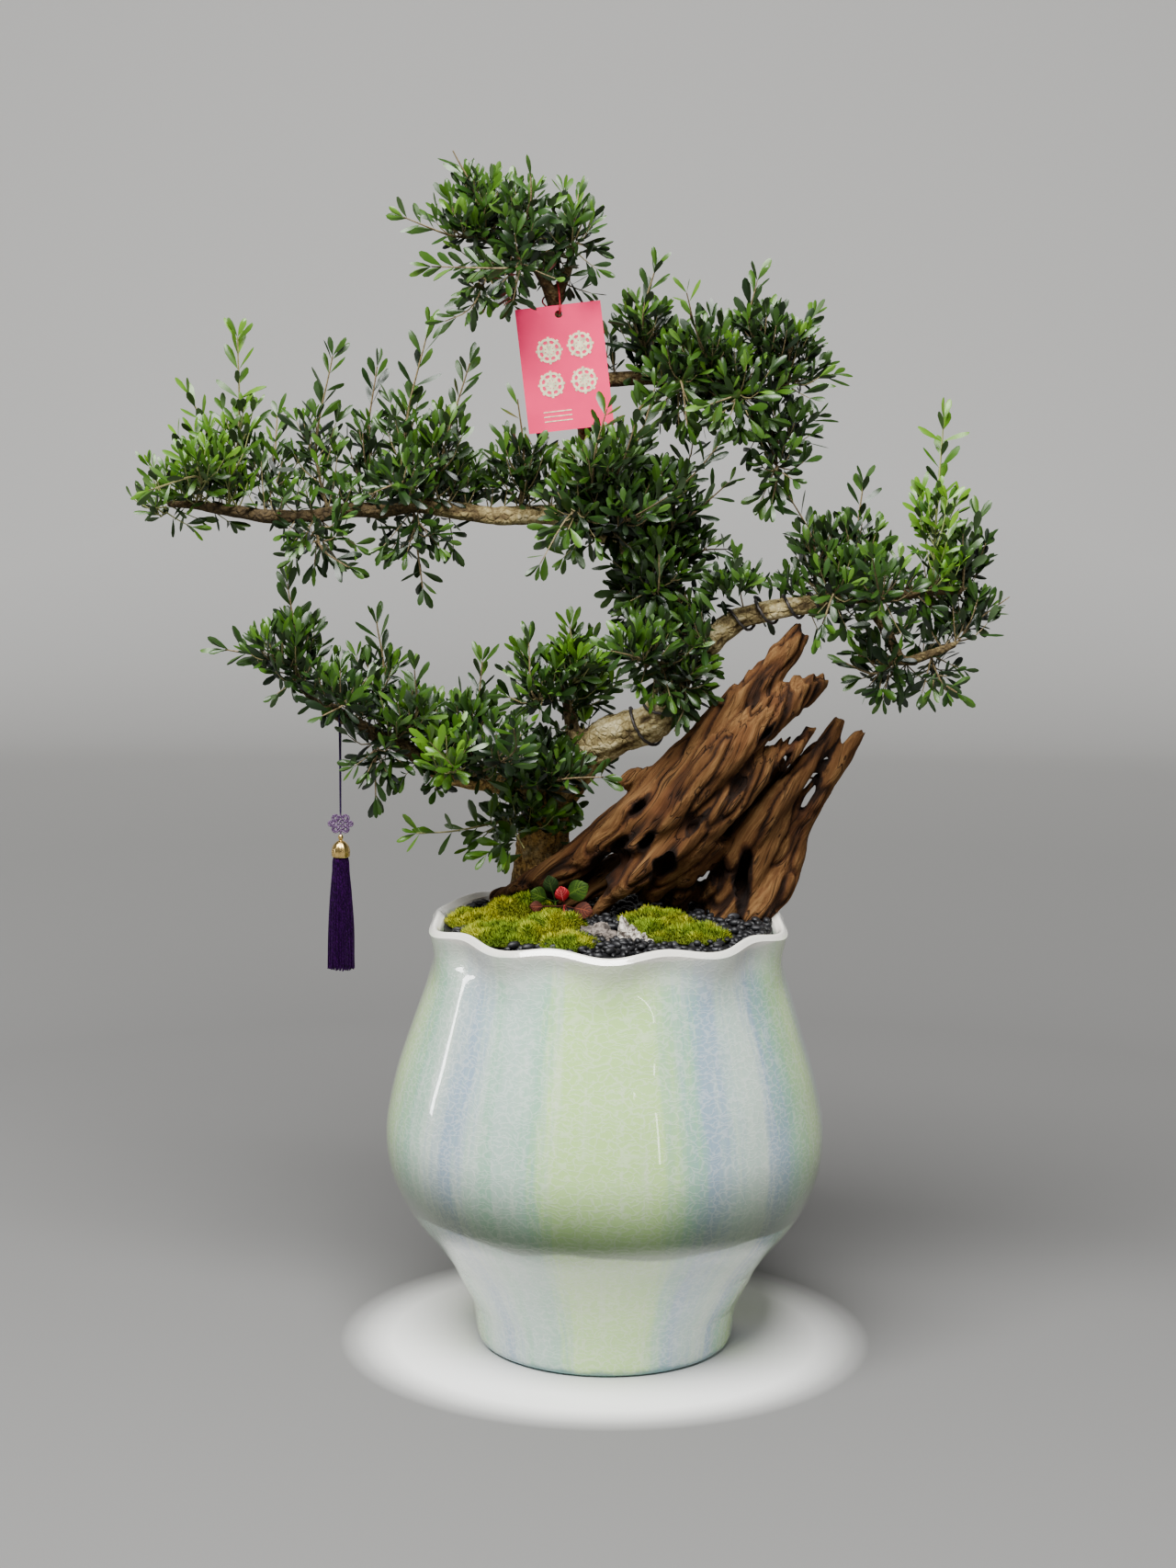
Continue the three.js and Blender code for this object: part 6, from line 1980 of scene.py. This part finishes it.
@dataclass
class Tassel:
    """A purple tassel under a woven knot and a gold cap."""

    # Distance of each small eye of the knot, its turn and its radius
    eyes: Sequence[tuple[float, float, float]] = (
        (8.3, 0, 2.2), (8.3, 180, 2.2), (6.4, 48, 2.9), (6.4, 132, 2.9), (6.4, 228, 2.9), (6.4, 312, 2.9))
    cap_profile: Stops = (
        (0, 432.3), (7.6, 432.3), (8.0, 434.6), (8.0, 438), (6.6, 442), (3.6, 445.4), (1.5, 446.6),
        (2.3, 448.4), (2.2, 450.2), (1, 451.6), (0, 451.6))
    knot_strand: float = 0.72
    threads: int = 240
    thread_turn: float = 2.39996
    top: float = 432.0
    bottom: float = 333.0
    top_radius: float = 6.0
    neck_radius: float = 7.2
    bottom_radius: float = 12.0
    random: np.random.Generator = field(default_factory=lambda: np.random.default_rng(SEED + 2))

    def cap(self) -> bpy.types.Object:
        """The gold cap with its bead, with fluted sides."""
        profile = spline([(r, 0, z) for r, z in self.cap_profile], 0.7)[0][:, [0, 2]]
        profile[0, 0] = profile[-1, 0] = 0
        profile = profile[(profile[:, 0] > 0.01) | (np.arange(len(profile)) % (len(profile) - 1) == 0)]
        corners, faces = lathe(np.clip(profile, 0, None), 48, CHARM_PLACE)
        flat = corners[:, :2] - CHARM_PLACE
        flutes = np.cos(12 * np.arctan2(flat[:, 1], flat[:, 0])) * (corners[:, 2] < 444)
        corners[:, :2] = flat * (1 + 0.035 * flutes - 0.035)[:, None] + CHARM_PLACE
        heap = Heap().add(corners, faces)
        return Piece("tassel_bell", "gold", ("tassel_cap",), 50).place(heap.mesh("cap"), GOLD)

    def knot(self) -> bpy.types.Object:
        """The flat woven knot: crossed strands with an eye at each corner."""
        heap = Heap()
        middle = np.array((*CHARM_PLACE, CHARM_TOP - 9.0))
        run = np.linspace(-5.4, 5.4, 25)
        for lane in (-4.2, -1.4, 1.4, 4.2):
            beside = np.full(25, lane)
            weave = 0.6 * np.cos(math.pi * (run - 1.4) / 2.8) * (1 if lane in (-4.2, 1.4) else -1)
            for one, other, side in ((run, beside, 1), (beside, run, -1)):
                x, z = (one - other) / math.sqrt(2), (one + other) / math.sqrt(2)
                line = middle + np.stack([x, weave * side, z], -1)
                heap.add(*tube(line, np.full(25, self.knot_strand), 8))
        angle = np.linspace(0, 2 * math.pi, 29)
        for reach, degrees, eye in self.eyes:
            turn = math.radians(degrees)
            centre = middle + reach * np.array((math.cos(turn), 0, math.sin(turn)))
            for size in (eye, eye - 1.25):
                line = centre + np.stack([size * np.cos(angle), 0 * angle, size * np.sin(angle)], -1)
                heap.add(*tube(line, np.full(29, self.knot_strand), 8))
        for low, high in ((451.4, 454.2), (467.5, 470.2)):
            line = np.array([(*CHARM_PLACE, low), (*CHARM_PLACE, (low + high) / 2), (*CHARM_PLACE, high)])
            heap.add(*tube(line, np.full(3, 0.8), 8))
        piece = Piece("woven_knot", "knot_charm", ("knot_charm",), 60)
        return piece.place(heap.mesh("knot"), SILVER_KNOT)

    def skirt(self) -> bpy.types.Object:
        """Fine threads that hang round a core."""
        heap = Heap()
        top, end, neck, foot = self.top, self.bottom + 2.5, self.neck_radius, self.bottom_radius
        heights = np.array((top, top - 4, top - 12, top - 30, top - 62, end))
        outer = np.array((self.top_radius, neck * 0.97, neck, neck + 1.6, foot * 0.88, foot * 0.95))
        falling = np.linspace(0, 1, len(heights))
        core = np.array([(0, end), *zip(outer[::-1] * 0.82, heights[::-1]), (0, top)])
        heap.add(*lathe(core, 24, CHARM_PLACE))
        for thread in range(self.threads):
            angle = thread * self.thread_turn + self.random.normal(0, 0.03)
            ring = (0.8, 0.88, 0.97)[thread % 3]
            reach = outer * ring + self.random.normal(0, 0.35, len(heights)) * falling
            drift = angle + self.random.normal(0, 0.05) * falling
            low = self.random.uniform(-2.2, 1.2)
            line = np.stack([CHARM_PLACE[0] + reach * np.cos(drift), CHARM_PLACE[1] + reach * np.sin(drift),
                             heights + low * falling ** 3], -1)
            fine = spline(line, 9.0)[0]
            heap.add(*tube(fine, np.full(len(fine), 0.46), 4))
        piece = Piece("tassel_silk", "tassel_threads", ("tassel_skirt",), 80)
        return piece.place(heap.mesh("silk"), PURPLE_SILK)

    def build(self) -> None:
        """Makes the knot, the cap, the skirt and the cord that they hang on."""
        self.skirt()
        charm = [self.knot(), self.cap()]
        hang("tassel_loop", "tassel_cord", TASSEL_ROUTE, PURPLE_CORD, "tassel_cord")


def main() -> None:
    """Builds the studio and all pieces."""
    Studio().build()
    GreetingTag().build()
    Tassel().build()
    CrackledPot().build()
    Bed().build()
    Driftwood().build()
    BonsaiTree().build()
    TrainingWires().build()
    # The pale plant's second finish is painted shade on its second leaf, and colours its stalks.
    NervePlant(
        "nerve_plant_pale", (-46, 2), [(-60, -8, 399, 9, 0), (-50, 0, 407, 8, 1), (-27, -6, 403, 11, 0)],
        (NERVE_GREEN, NERVE_DARK), "nerve_plant_green", "nerve_leaf_green").build()
    NervePlant(
        "nerve_plant_rosy", (-38, -14),
        [(-40, -18, 402, 7.5, 0), (-22, -22, 389, 9, 1), (-30, -34, 384, 8, 1), (-62, -22, 392, 6, 1)],
        (NERVE_RED, NERVE_BROWN), "nerve_plant_red", "nerve_leaf_red").build()
    Foliage().build()


if __name__ == "__main__":
    main()
